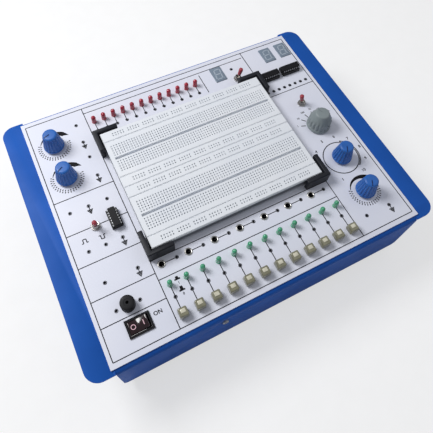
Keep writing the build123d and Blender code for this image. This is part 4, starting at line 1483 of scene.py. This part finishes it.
    def draw_pulse(self, form: Form, x: float, y: float, way: int) -> None:
        """A pulse sign.

        Args:
            form: the print that gets it.
            x: its middle.
            y: its foot.
            way: 1 for a rising pulse, -1 for a falling one.
        """
        rise = 3.6 * way
        points = [(x - 3, y), (x - 1.4, y), (x - 1.4, y + rise), (x + 1.4, y + rise), (x + 1.4, y), (x + 3, y)]
        self.chain(form, points, 0.8)

    def draw_scales(self, form: Form) -> None:
        """Wedges, rings and numbers round the rotary controls."""
        for name in ("coarse_volt", "fine_volt", "amplitude"):
            dial = Dial(Region.of(f"{name}_shaft").centre)
            inner, outer = dial.wedge_inner, dial.wedge_outer
            knee = dial.wedge_end + dial.wedge_slant
            self.band(form, dial.centre, dial.wedge_start, knee, (inner, inner), (inner + 0.3, outer + 0.3))
            self.band(form, dial.centre, knee, dial.wedge_end, (inner, outer), (outer, outer))
        centre = Region.of("frequency_shaft").centre
        ring = self.ring_radius
        for start, end, radius, width in (
            (60, 310, ring, self.ring_width), (-50, 60, ring + 0.2, 0.35), (-50, 60, ring + 2.2, 0.35)
        ):
            self.band(form, centre, start, end, (radius, radius), (radius + width, radius + width))
        for number in range(1, 11):
            angle = radians(240 - 300 * (number - 1) / 9)
            spot = centre.xy + Vector((cos(angle), sin(angle))) * self.number_radius
            form.add(lettering(str(number), self.number_height, shift(spot.x, spot.y, self.top)))
        centre = Region.of("selector_shaft").centre
        for index, text in enumerate(("100k", "10k", "1k", "100", "10", "1")):
            angle = radians(self.selector_first + self.selector_step * index)
            direction = Vector((cos(angle), sin(angle)))
            start, end = (centre.xy + direction * reach for reach in self.selector_tick)
            self.rule(form, start, end, 0.8)
            spot = centre.xy + direction * (self.selector_tick[1] + 3.2)
            form.add(lettering(text, 2.1, shift(spot.x, spot.y, self.top)))

    def build_ticks(self) -> None:
        """Rings of short ticks round the dials."""
        recipe = TickRecipe()
        half = self.tick_width / 2
        jobs = []
        for name in ("coarse_volt", "fine_volt", "amplitude"):
            dial = Dial(Region.of(f"{name}_shaft").centre)
            jobs.append((f"{name}_inner_ticks", dial.centre, dial.inner_ticks, dial.tick, 20, 160, 200))
            jobs.append((f"{name}_outer_ticks", dial.centre, dial.outer_ticks, dial.tick, 22, 157, 206))
        centre = Region.of("frequency_shaft").centre
        jobs.append(("frequency_ticks", centre, self.ring_radius + 0.4, 1.9, 28, -50, 110))
        for name, centre, radius, length, count, start, sweep in jobs:
            mark = self.patch([(0, -half), (length, -half), (length, half), (0, half)])
            arc = {"Radius": radius * MM, "Start": radians(start), "Sweep": radians(sweep)}
            middle = (centre.x * MM, centre.y * MM, 0)
            piece = recipe.run(name, mark, self.stock(Stock.INK), Count=count, Centre=middle, **arc)
            publish(piece, CASE, "panel_white")


@dataclass
class Knobs(Assembly):
    """The four blue knobs, the grey selector, their shafts and nuts."""

    flutes: int = 18
    flute_depth: float = 0.75
    pointer_width: float = 1.1
    pointer_depth: float = 0.5
    hollow_radius: float = 6.6
    hollow_depth: float = 4.0
    bore: float = 3.05
    bore_depth: float = 15.0
    segments: int = 144
    angles: dict[str, float] = field(
        default_factory=lambda: {"coarse_volt": 198.0, "fine_volt": 214.0, "frequency": 240.0, "amplitude": 240.0}
    )
    selector_angle: float = 108.0

    def build(self) -> None:
        """Builds the controls."""
        self.fluting = FluteRecipe()
        for name, angle in self.angles.items():
            self.build_knob(name, angle)
        self.build_selector()
        self.dress(Stock.ZINC, "selector_shaft", *(f"{name}_shaft" for name in self.angles))
        self.dress(Stock.BRACKET, "rotary_switch")
        self.dress(Stock.ZINC, "potentiometers")
        self.build_nuts()

    def grip(self, side: Sequence[Point], inside: float, low: float, high: float, name: str) -> Form:
        """Turns a hollow knob and presses flutes into its side.

        Args:
            side: the (r, z) section past the bore and the hollow, from foot to crown.
            inside: radius inside which nothing moves.
            low: height where the flutes start.
            high: height where they end.
            name: name of the body while it is made.

        Returns:
            The fluted form.
        """
        inner = [(0, self.bore_depth), (self.bore, self.bore_depth), (self.bore, self.hollow_depth)]
        inner += [(self.hollow_radius, self.hollow_depth), (self.hollow_radius, 0)]
        sizes = {"Depth": self.flute_depth, "Inside": inside, "Low": low, "High": high}
        sizes = {key: value * MM for key, value in sizes.items()}
        body = lathe([*inner, *side], self.segments)
        return reclaim(self.fluting.run(name, body, self.stock(Stock.BLUE_KNOB), Flutes=float(self.flutes), **sizes))

    def build_knob(self, name: str, angle: float) -> None:
        """One blue knob.

        Args:
            name: which one.
            angle: where it points, from +X.
        """
        box = Region.of(f"{name}_knob")
        centre = Region.of(f"{name}_shaft").centre
        height = box.size.z
        foot, crown = 9.6, 6.9
        straight = height - 2.2
        side: list[Point] = [(foot - 0.4, 0), (foot, 0.4), (foot - 0.05, 1.6)]
        side += [(foot - 0.1 + (crown - foot) * step / 8, 1.9 + (straight - 1.9) * step / 8) for step in range(9)]
        side += [(crown - 0.35, straight + 1.0), (crown - 0.9, straight + 1.7), (crown - 1.7, height - 0.1)]
        side += [(crown - 2.4, height), (0, height - 0.15)]
        body = self.grip(side, self.hollow_radius - 0.5, 1.7, straight + 0.3, "fluted_body")
        groove = block((foot + 1, self.pointer_width, 2 * self.pointer_depth), ((foot + 1) / 2, 0, height), 0)
        place = shift(centre.x, centre.y, box.low.z) @ turn(angle)
        piece = carve(f"{name}_fluted_knob", body.placed(place), groove.placed(place), self.stock(Stock.BLUE_KNOB))
        publish(piece, name, "blue_knob", f"{name}_knob")
        middle = ((crown - 1.2) / 2 + 0.3, 0, height - self.pointer_depth + 0.02)
        line = block((crown - 1.2, self.pointer_width * 0.8, 0.16), middle, 0.04).placed(place)
        self.show(f"{name}_pointer_line", line, Stock.POINTER, "blue_knob", body=name)

    def build_selector(self) -> None:
        """The larger grey knob on its plain skirt."""
        box = Region.of("selector_knob")
        centre = Region.of("selector_shaft").centre
        height = box.size.z
        side: list[Point] = [(11.6, 0), (12.0, 0.4), (11.9, 1.6), (11.5, 2.6), (11.2, 3.0)]
        side += [(11.3, 3.2 + 7.2 * step / 6) for step in range(7)]
        side += [(10.9, 11.2), (10.2, 12.4), (9.2, 14.3), (8.2, 16.4), (7.3, 18.2), (6.9, 18.9)]
        side += [(6.4, height - 0.25), (5.6, height), (0, height - 0.1)]
        body = self.grip(side, self.hollow_radius + 0.5, 3.1, 11.3, "fluted_selector")
        tools = block((12.0, 1.4, 2 * self.pointer_depth), (6.5, 0, height), 0)
        tools.add(lathe([(0, 0), (1.3, 0), (1.3, 6), (0, 6)], 16), shift(-13, 0, 7.2) @ turn(90, "Y"))
        place = shift(centre.x, centre.y, box.low.z) @ turn(self.selector_angle)
        piece = carve("selector_fluted_knob", body.placed(place), tools.placed(place), self.stock(Stock.GREY_KNOB))
        publish(piece, "selector", "grey_knob", "selector_knob")

    def build_nuts(self) -> None:
        """Chamfered hexagon nuts under the knobs."""
        nuts = solids(self.frame, "control_nuts")
        nut = hexagon_nut(10.0, nuts[0].size.z, 3.65)
        spots = [(box.centre.x, box.centre.y, nuts[0].low.z) for box in nuts]
        self.scatter("control_hexagon_nuts", nut, Stock.NICKEL, "nickel", spots, "control_nuts")


def hexagon_nut(width: float, thickness: float, bore: float, chamfer: float = 0.35) -> Form:
    """A hexagon nut with chamfered corners.

    Args:
        width: its size across the flats.
        thickness: its height.
        bore: radius of its hole.
        chamfer: size of its chamfers.

    Returns:
        The form, standing on its place.
    """
    form = Form()
    round_off = width / 2 / cos(pi / 6) - chamfer * 1.6
    angles = [tau * step / 24 for step in range(24)]
    hexagon = [(width / 2) / cos((angle + pi / 6) % (pi / 3) - pi / 6) for angle in angles]
    eased = [min(reach, round_off) for reach in hexagon]
    hole = [bore] * len(angles)
    rings = []
    levels = (0.0, 0.0, chamfer, thickness - chamfer, thickness, thickness)
    for reaches, height in zip((hole, eased, hexagon, hexagon, eased, hole), levels):
        rings.append(form.ring((r * cos(angle), r * sin(angle), height) for r, angle in zip(reaches, angles)))
    form.skin(*rings, rings[0])
    return form


@dataclass
class ToggleSwitches(Assembly):
    """Three toggle switches with threaded bushings, nuts and red sleeves."""

    leans: tuple[tuple[str, float], ...] = (("X", 12.0), ("Y", 12.0), ("Y", -12.0))
    bushing: float = 3.0
    bushing_height: float = 5.0
    mouth: float = 2.3
    pivot_height: float = 1.6
    thread_pitch: float = 0.55
    thread_depth: float = 0.16
    lever_radius: float = 0.9
    sleeve_start: float = 5.6
    sleeve_length: float = 8.4

    def build(self) -> None:
        """Builds the switches from left to right."""
        self.panel = Region.of("panel_board").high.z
        nuts = solids(self.frame, "toggle_nuts")
        spots = [(box.centre.x, box.centre.y, self.panel) for box in nuts]
        nut = hexagon_nut(8.0, nuts[0].size.z, 3.05, 0.3)
        self.scatter("toggle_hexagon_nuts", nut, Stock.NICKEL, "nickel", spots, "toggle_nuts")
        self.scatter("threaded_bushings", self.threaded(), Stock.NICKEL, "nickel", spots, "toggle_switches")
        cans = Form()
        for box in solids(self.frame, "toggle_switches"):
            size = (box.size.x, box.size.y, self.panel - 1.65 - box.low.z)
            cans.add(block(size, (box.centre.x, box.centre.y, box.low.z + size[2] / 2), 0.5))
        self.show("toggle_switch_cans", cans, Stock.CHIP, "socket_black")
        for index, (box, (axis, lean)) in enumerate(zip(nuts, self.leans), 1):
            place = shift(box.centre.x, box.centre.y, self.panel + self.pivot_height) @ turn(lean, axis)
            self.build_lever(index, place)

    def threaded(self) -> Form:
        """A threaded bushing with a stepped mouth, standing on the panel."""
        root, top = self.bushing - self.thread_depth, self.bushing_height
        profile: list[Point] = [(0, -1.6), (root, -1.6)]
        for index in range(int(top / self.thread_pitch)):
            base = index * self.thread_pitch
            profile += [(root, base + 0.02), (self.bushing, base + self.thread_pitch * 0.5)]
        profile += [(root, top - 0.35), (self.bushing - 0.35, top), (self.mouth + 0.2, top)]
        profile += [(self.mouth, top - 0.25), (self.mouth - 0.2, 2.6), (1.7, 2.4), (1.7, 0.5), (0, 0.4)]
        return lathe(profile, 32)

    def build_lever(self, index: int, place: Matrix) -> None:
        """A bat with its pivot and the red sleeve over it.

        Args:
            index: number of the switch.
            place: the lever's frame.
        """
        body = f"toggle_{index}"
        radius = self.lever_radius
        bat = [(0, -1.1), (0.7, -0.95), (1.2, -0.5), (1.4, 0), (1.2, 0.5), (radius, 0.95), (radius, 12.3)]
        lever = lathe([*bat, (radius - 0.2, 12.5), (0, 12.5)], 24).placed(place)
        self.show(f"toggle_bat_{index}", lever, Stock.NICKEL, "nickel", f"toggle_lever_{index}", body=body)
        start = self.sleeve_start
        end = start + self.sleeve_length
        cap = [(0, start + 7.1), (radius + 0.05, start + 7.1), (radius + 0.05, start), (1.6, start)]
        cap += [(1.78, start + 0.25), (1.85, start + 1), (2.0, start + 3), (2.15, end - 2.6), (2.18, end - 1.5)]
        cap += [(2.0, end - 0.75), (1.6, end - 0.3), (0.95, end - 0.05), (0, end)]
        sleeve = lathe(cap, 32).placed(place)
        name = f"toggle_sleeve_cap_{index}"
        self.show(name, sleeve, Stock.SLEEVE, "red_sleeve", f"toggle_sleeve_{index}", body=body)


@dataclass
class PushButtons(Assembly):
    """Twelve square push caps over their switches."""

    shoulder: float = 0.9
    dish: float = 0.45
    # Size and offset of the painted highlight: a cream block on the cap's top in place of the reflected light.
    insert: Triple = (4.4, 3.6, 1.0)
    insert_offset: float = 0.9

    def build(self) -> None:
        """Builds the caps on their own bodies and dresses the housings."""
        self.soften(Stock.CHIP, "push_switches", "push_switch_housings", "socket_black", 0.2)
        for index in range(1, 13):
            node = f"push_button_{index:02d}"
            self.build_cap(node, Region.of(node))

    def build_cap(self, node: str, box: Region) -> None:
        """One cap with rounded corners, a dished top and its stem.

        Args:
            node: the CAD node, which is also the body's name.
            box: its box at rest.
        """
        half = box.size.x / 2
        top = box.high.z
        bottom = top - 6.0
        x, y = box.centre.x, box.centre.y
        outline = self.rounded(half, 1.1)
        levels = [(bottom, 0.0), (bottom + 0.25, 0.0), (top - self.shoulder - 0.2, 0.32), (top - 0.5, 0.46)]
        levels += [(top - 0.15, 0.75), (top, 1.25), (top - 0.02, 1.7)]
        scales = [(height, (half - inset) / half) for height, inset in levels]
        scales += [(top - self.dish * (1 - (share / 0.6) ** 2), share) for share in (0.45, 0.3, 0.15)]
        form = Form()
        rings = []
        for height, scale in scales:
            rings.append(form.ring((x + px * scale, y + py * scale, height) for px, py in outline))
        form.skin(*rings)
        form.faces += [tuple(rings[-1]), tuple(rings[0][::-1])]
        self.show(f"{node}_dished_cap", form, Stock.CAP, "olive_cap", node, body=node)
        stem = block((4.0, 4.0, bottom - box.low.z + 0.3), (x, y, (bottom + 0.3 + box.low.z) / 2), 0.15)
        self.show(f"{node}_stem", stem, Stock.CAP, "olive_cap", body=node)
        # Painted highlight: a cream block on each cap's top stands in for the light reflected there.
        insert = block(self.insert, (x, y + self.insert_offset, top - 0.06 - self.insert[2] / 2), 0.25)
        self.show(f"{node}_cream_insert", insert, Stock.CAP_TOP, "olive_cap", body=node)

    def rounded(self, half: float, radius: float) -> list[Point]:
        """Corners of a square with rounded corners.

        Args:
            half: half of its side.
            radius: radius of its corners.

        Returns:
            The points, counter-clockwise.
        """
        points = []
        for quarter in range(4):
            middle = radians(45 + 90 * quarter)
            cx = (half - radius) * (1 if cos(middle) > 0 else -1)
            cy = (half - radius) * (1 if sin(middle) > 0 else -1)
            for step in range(7):
                angle = radians(90 * quarter + 15 * step)
                points.append((cx + radius * cos(angle), cy + radius * sin(angle)))
        return points


@dataclass
class PowerSwitch(Assembly):
    """Glossy bezel and the rocker with its marks."""

    tilt: float = -8.0
    rise: float = 3.35
    tip: float = 4.9
    length: float = 15.9
    width: float = 10.1
    skirt: float = 3.0

    def build(self) -> None:
        """Builds the bezel and the rocker."""
        bezel = Region.of("rocker_frame")
        self.soften(Stock.BEZEL, "rocker_frame", "rocker_bezel", "rocker_black", 0.45)
        panel = Region.of("panel_board").high.z
        place = shift(bezel.centre.x, bezel.centre.y, panel - 1) @ turn(self.tilt, "Y")
        half = self.length / 2
        outline: list[Point] = [(-half, -1.4), (-half / 2, -self.skirt), (half / 2, -self.skirt), (half, -1.4)]
        outline += [(half, self.tip - 0.4), (half - 0.4, self.tip)]
        for step in range(1, 12):
            share = 1 - step / 6
            outline.append(((half - 0.4) * share, self.rise + (self.tip - self.rise) * abs(share) ** 1.35))
        outline += [(-half + 0.4, self.tip), (-half, self.tip - 0.4)]
        upright = turn(90, "X")
        body = plate(outline, -self.width / 2, self.width / 2).placed(upright)
        work = finish_form("rocker_blank", body.placed(place), self.stock(Stock.ROCKER))
        edge = work.modifiers.new("rounded_edges", "BEVEL")
        edge.width = 0.3 * MM
        edge.segments = 2
        edge.limit_method = "ANGLE"
        edge.angle_limit = radians(35)
        settle(work)
        work.name = "power_rocker_body"
        work.data.name = "power_rocker_body"
        smooth(work.data)
        publish(work, "rocker", "rocker_red", "power_rocker")
        self.build_marks(place)

    def build_marks(self, place: Matrix) -> None:
        """The circle and the bar on the rocker, in the rocker's frame."""
        marks = Form()
        half = self.length / 2
        slope = degrees(atan2(self.tip - self.rise, half)) * 1.1
        level = self.rise + (self.tip - self.rise) * 0.55**1.35 + 0.09
        ring = lathe([(1.55, -0.1), (2.1, -0.1), (2.1, 0.05), (1.55, 0.05)], 32)
        bar = plate([(-0.3, -2), (0.3, -2), (0.3, 2), (-0.3, 2)], -0.1, 0.05)
        for side, mark in ((-1, ring), (1, bar)):
            marks.add(mark, place @ shift(side * half * 0.55, 0, level) @ turn(-side * slope, "Y"))
        self.show("rocker_marks", marks, Stock.MARK, "rocker_red", body="rocker")


@dataclass
class Circuits(Assembly):
    """Three integrated circuits with formed pins in their sockets."""

    pitch: float = 2.54
    row_gap: float = 7.62
    body_width: float = 6.4
    body_height: float = 3.0
    socket_width: float = 10.2
    draft: float = 0.93

    def build(self) -> None:
        """Builds the circuits from left to right."""
        self.panel = Region.of("panel_board").high.z
        bodies = Form()
        frames = Form()
        nodes: tuple[str, ...] = ("integrated_circuits",)
        for index, box in enumerate(solids(self.frame, "circuit_sockets"), 1):
            along = max(box.size.x, box.size.y)
            pins = round(along / self.pitch)
            place = shift(box.centre.x, box.centre.y, 0)
            if box.size.y > box.size.x:
                place = place @ turn(90)
            frames.add(self.socket(along, box), place)
            bodies.add(self.package(pins), place)
            first = place @ Vector((-(pins - 1) * self.pitch / 2, 0, 0))
            step = place.to_3x3() @ Vector((self.pitch, 0, 0))
            for side, word in ((-1, "front"), (1, "rear")):
                pin = self.pin(side, box.high.z).placed(place.to_3x3().to_4x4())
                self.row(f"circuit_{index}_pins_{word}", pin, Stock.LEAD, "chip_black", pins, first, step, *nodes)
                nodes = ()
        self.show("circuit_packages", bodies, Stock.CHIP, "chip_black")
        self.show("circuit_socket_frames", frames, Stock.SOCKET, "socket_black", "circuit_sockets")

    def socket(self, along: float, box: Region) -> Form:
        """Two rails joined by cross bars."""
        form = Form()
        height = box.size.z
        middle = box.centre.z
        rail = (self.socket_width - self.row_gap + self.pitch) / 2
        for side in (-1, 1):
            y = side * (self.socket_width - rail) / 2
            form.add(block((along, rail, height), (0, y, middle), 0.2))
        inner = self.socket_width - 2 * rail
        for side in (-1, 1):
            x = side * (along - self.pitch) / 2
            form.add(block((self.pitch, inner - 0.02, height - 0.3), (x, 0, middle - 0.15), 0.1))
        return form

    def package(self, pins: int) -> Form:
        """Moulded body with drafted sides, a notch and a dimple, for so many pins a side."""
        length = (pins - 1) * self.pitch + 4.4
        top = self.panel + 7.4
        size = (length, self.body_width, self.body_height)
        body = block(size, (0, 0, top - self.body_height / 2), 0.12, 1, self.draft)
        tools = lathe([(0, -0.7), (0.8, -0.7), (0.8, 1), (0, 1)], 20).placed(shift(-length / 2, 0, top))
        tools.add(lathe([(0, -0.15), (0.55, -0.15), (0.55, 1), (0, 1)], 16), shift(-length / 2 + 2, -1.9, top))
        return reclaim(carve("package_blank", body, tools, self.stock(Stock.CHIP)))

    def pin(self, side: int, seat: float) -> Form:
        """A formed pin: out of the body, round the bend and down into the socket."""
        top = self.panel + 7.4 - self.body_height / 2 + 0.12
        inner = self.body_width / 2 - 0.4
        outer = self.row_gap / 2 + 0.2
        form = Form()
        form.add(block((1.4, outer - inner - 0.2, 0.26), (0, side * (inner + outer - 0.2) / 2, top), 0.05, 1))
        knee = seat + 0.7
        middle = side * (outer - 0.14)
        form.add(block((1.4, 0.28, top + 0.1 - knee), (0, middle, (top + 0.1 + knee) / 2), 0.06, 1))
        form.add(block((0.55, 0.26, knee - seat + 0.6), (0, middle, (knee + seat - 0.6) / 2 + 0.02), 0.05, 1))
        return form


@dataclass
class Displays(Assembly):
    """Seven-segment displays: grey-blue body with pale segments."""

    digit_height: float = 12.7
    digit_width: float = 6.6
    stroke: float = 1.25
    slant: float = 8.0
    segment_gap: float = 0.3

    def build(self) -> None:
        """Builds the three displays."""
        self.soften(Stock.DISPLAY, "digit_displays", "display_bodies", "display_face", 0.3)
        segments = Form()
        for box in solids(self.frame, "digit_displays"):
            segments.add(self.digit().placed(shift(box.centre.x, box.centre.y, box.high.z)))
        self.show("display_segments", segments, Stock.SEGMENT, "display_face")

    def digit(self) -> Form:
        """Seven pointed bars and a dot, as a thin print."""
        form = Form()
        half_w, half_h = self.digit_width / 2, self.digit_height / 2
        lean = tan(radians(self.slant))
        bars: list[tuple[Point, Point]] = [((-half_w, y), (half_w, y)) for y in (half_h, 0, -half_h)]
        for x in (-half_w, half_w):
            bars += [((x, -half_h), (x, 0)), ((x, 0), (x, half_h))]
        for start, end in bars:
            first, last = Vector(start), Vector(end)
            along = (last - first).normalized()
            side = Vector((-along.y, along.x)) * self.stroke / 2
            first = first + along * self.segment_gap
            last = last - along * self.segment_gap
            inset = along * self.stroke / 2
            near, far = first + inset, last - inset
            corners = [first, near - side, far - side, last, far + side, near + side]
            form.add(plate([(c.x + c.y * lean, c.y) for c in corners], -0.02, 0.04))
        dot = [(half_w + 0.4 + px, -half_h + py) for px, py in polygon(0.65, 16)]
        form.add(plate(dot, -0.02, 0.04))
        return form


@dataclass
class SmallParts(Assembly):
    """Buzzer, mains inlet and what stands inside the case."""

    def build(self) -> None:
        """Builds the small parts and dresses the inner ones."""
        self.build_buzzer()
        self.soften(Stock.SOCKET, "mains_inlet", "moulded_inlet", "socket_black", 0.35)
        self.soften(Stock.CORE, "transformer", "laminated_transformer", "iron_core", 0.5)
        self.soften(Stock.FIBRE, "supply_board", "fibre_supply_board", "fibre_board", 0.1)
        self.soften(Stock.CHIP, "supply_parts", "supply_components", "socket_black", 0.4)
        self.dress(Stock.BRASS, "standoffs")

    def build_buzzer(self) -> None:
        """Turned black buzzer with a bevel and a sound port."""
        box = Region.of("buzzer")
        radius = min(box.size.x, box.size.y) / 2
        height = box.size.z
        profile = [(0, 0), (radius - 0.15, 0), (radius, 0.15), (radius, height - 0.7), (radius - 0.2, height - 0.25)]
        profile += [(radius - 0.7, height), (2.9, height), (2.75, height - 0.12), (1.35, height - 0.12)]
        profile += [(1.2, height - 0.25), (1.2, height - 3), (0, height - 3)]
        turned = lathe(profile, 48).placed(shift(box.centre.x, box.centre.y, box.low.z))
        self.show("turned_buzzer", turned, Stock.CHIP, "socket_black", "buzzer")


@dataclass(frozen=True)
class Lamp:
    """An area light that looks at the middle of the object."""

    name: str
    place: Triple
    size: float
    power: float


@dataclass
class Studio:
    """Floor, backdrop, lights and camera; not part of the model."""

    camera_place: Triple = (-117.0, -190.7, 465.1)
    turn_about: float = -31.935
    tip: float = 59.322
    roll: float = 5.754
    lens: float = 39.9
    frame_shift: Point = (0.0007, -0.1305)
    lamps: tuple[Lamp, ...] = (
        Lamp("key", (-420.0, 380.0, 760.0), 420.0, 6.2),
        Lamp("fill", (520.0, -60.0, 640.0), 640.0, 0.5),
    )
    sky: float = 0.3
    floor_glow: float = 0.6

    def build(self) -> None:
        """Sets the stage."""
        self.build_floor()
        self.build_world()
        self.build_lamps()
        self.build_camera()

    def build_floor(self) -> None:
        """A wide pale floor that takes the shadow."""
        half = 4000.0
        form = plate([(-half, -half), (half, -half), (half, half), (-half, half)], -4.0, -0.05)
        material = FLOOR.build()
        tree = material.node_tree
        output = next(node for node in tree.nodes if node.type == "OUTPUT_MATERIAL")
        lit = next(node for node in tree.nodes if node.type == "BSDF_PRINCIPLED")
        glow = add_node(tree, "ShaderNodeEmission", values={"Color": (1, 1, 1, 1), "Strength": 1.0})
        path = add_node(tree, "ShaderNodeLightPath")
        share = ranged(tree, path.outputs["Is Camera Ray"], 0.0, 1.0, 0.0, self.floor_glow)
        mixed = add_node(tree, "ShaderNodeMixShader", {0: share, 1: lit.outputs[0], 2: glow.outputs[0]})
        tree.links.new(mixed.outputs[0], output.inputs["Surface"])
        floor = finish_form("studio_floor", form, material)

    def build_world(self) -> None:
        """White where the camera looks past the floor, soft light elsewhere."""
        world = bpy.data.worlds.new("studio_sky")
        world.use_nodes = True
        tree = world.node_tree
        tree.nodes.clear()
        seen = add_node(tree, "ShaderNodeBackground", values={"Color": (1, 1, 1, 1), "Strength": 1.0})
        light = add_node(tree, "ShaderNodeBackground", values={"Color": linear("#F4F7FF"), "Strength": self.sky})
        path = add_node(tree, "ShaderNodeLightPath")
        mixed = add_node(
            tree,
            "ShaderNodeMixShader",
            {0: path.outputs["Is Camera Ray"], 1: light.outputs[0], 2: seen.outputs[0]},
        )
        add_node(tree, "ShaderNodeOutputWorld", {"Surface": mixed.outputs[0]})
        bpy.context.scene.world = world

    def build_lamps(self) -> None:
        """Large soft lights above and beside the object."""
        aim = Vector((0, 0, 40)) * MM
        for lamp in self.lamps:
            data = bpy.data.lights.new(lamp.name, "AREA")
            data.shape = "DISK"
            data.size = lamp.size * MM
            data.energy = lamp.power
            holder = bpy.data.objects.new(lamp.name, data)
            holder.location = Vector(lamp.place) * MM
            holder.rotation_euler = (aim - holder.location).to_track_quat("-Z", "Y").to_euler()
            bpy.context.scene.collection.objects.link(holder)

    def build_camera(self) -> None:
        """The photograph's point of view."""
        data = bpy.data.cameras.new("photo_camera")
        data.lens = self.lens
        data.sensor_width = 36.0
        data.shift_x, data.shift_y = self.frame_shift
        data.clip_start = 0.01
        data.clip_end = 50.0
        azimuth, height, roll = (radians(angle) for angle in (self.turn_about, self.tip, self.roll))
        back = Vector((sin(azimuth) * cos(height), -cos(azimuth) * cos(height), sin(height)))
        level = Vector((cos(azimuth), sin(azimuth), 0))
        upright = back.cross(level)
        right = cos(roll) * level + sin(roll) * upright
        up = -sin(roll) * level + cos(roll) * upright
        holder = bpy.data.objects.new("photo_camera", data)
        axes = Matrix((right, up, back)).transposed().to_4x4()
        holder.matrix_world = Matrix.Translation(Vector(self.camera_place) * MM) @ axes
        bpy.context.scene.collection.objects.link(holder)
        bpy.context.scene.camera = holder


FLOOR = Finish("studio_matt_paper", colour="#FFFFFF", shade="#FAFAFA", roughness=0.9, grain=6.0, depth=0.0)


def main() -> None:
    """Builds every sub-assembly in the part's frame."""
    logging.basicConfig(level=logging.INFO)
    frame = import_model()
    palette = Palette()
    kinds: list[type[Assembly]] = [SteelCase, PanelPrint, Breadboard, Lamps, Sockets, Knobs]
    kinds += [ToggleSwitches, PushButtons, PowerSwitch, Circuits, Displays, SmallParts]
    for kind in kinds:
        LOG.info("building %s", kind.__name__)
        kind(frame, palette).build()
    Studio().build()
    bpy.context.scene.view_settings.view_transform = "Standard"


if __name__ == "__main__":
    main()
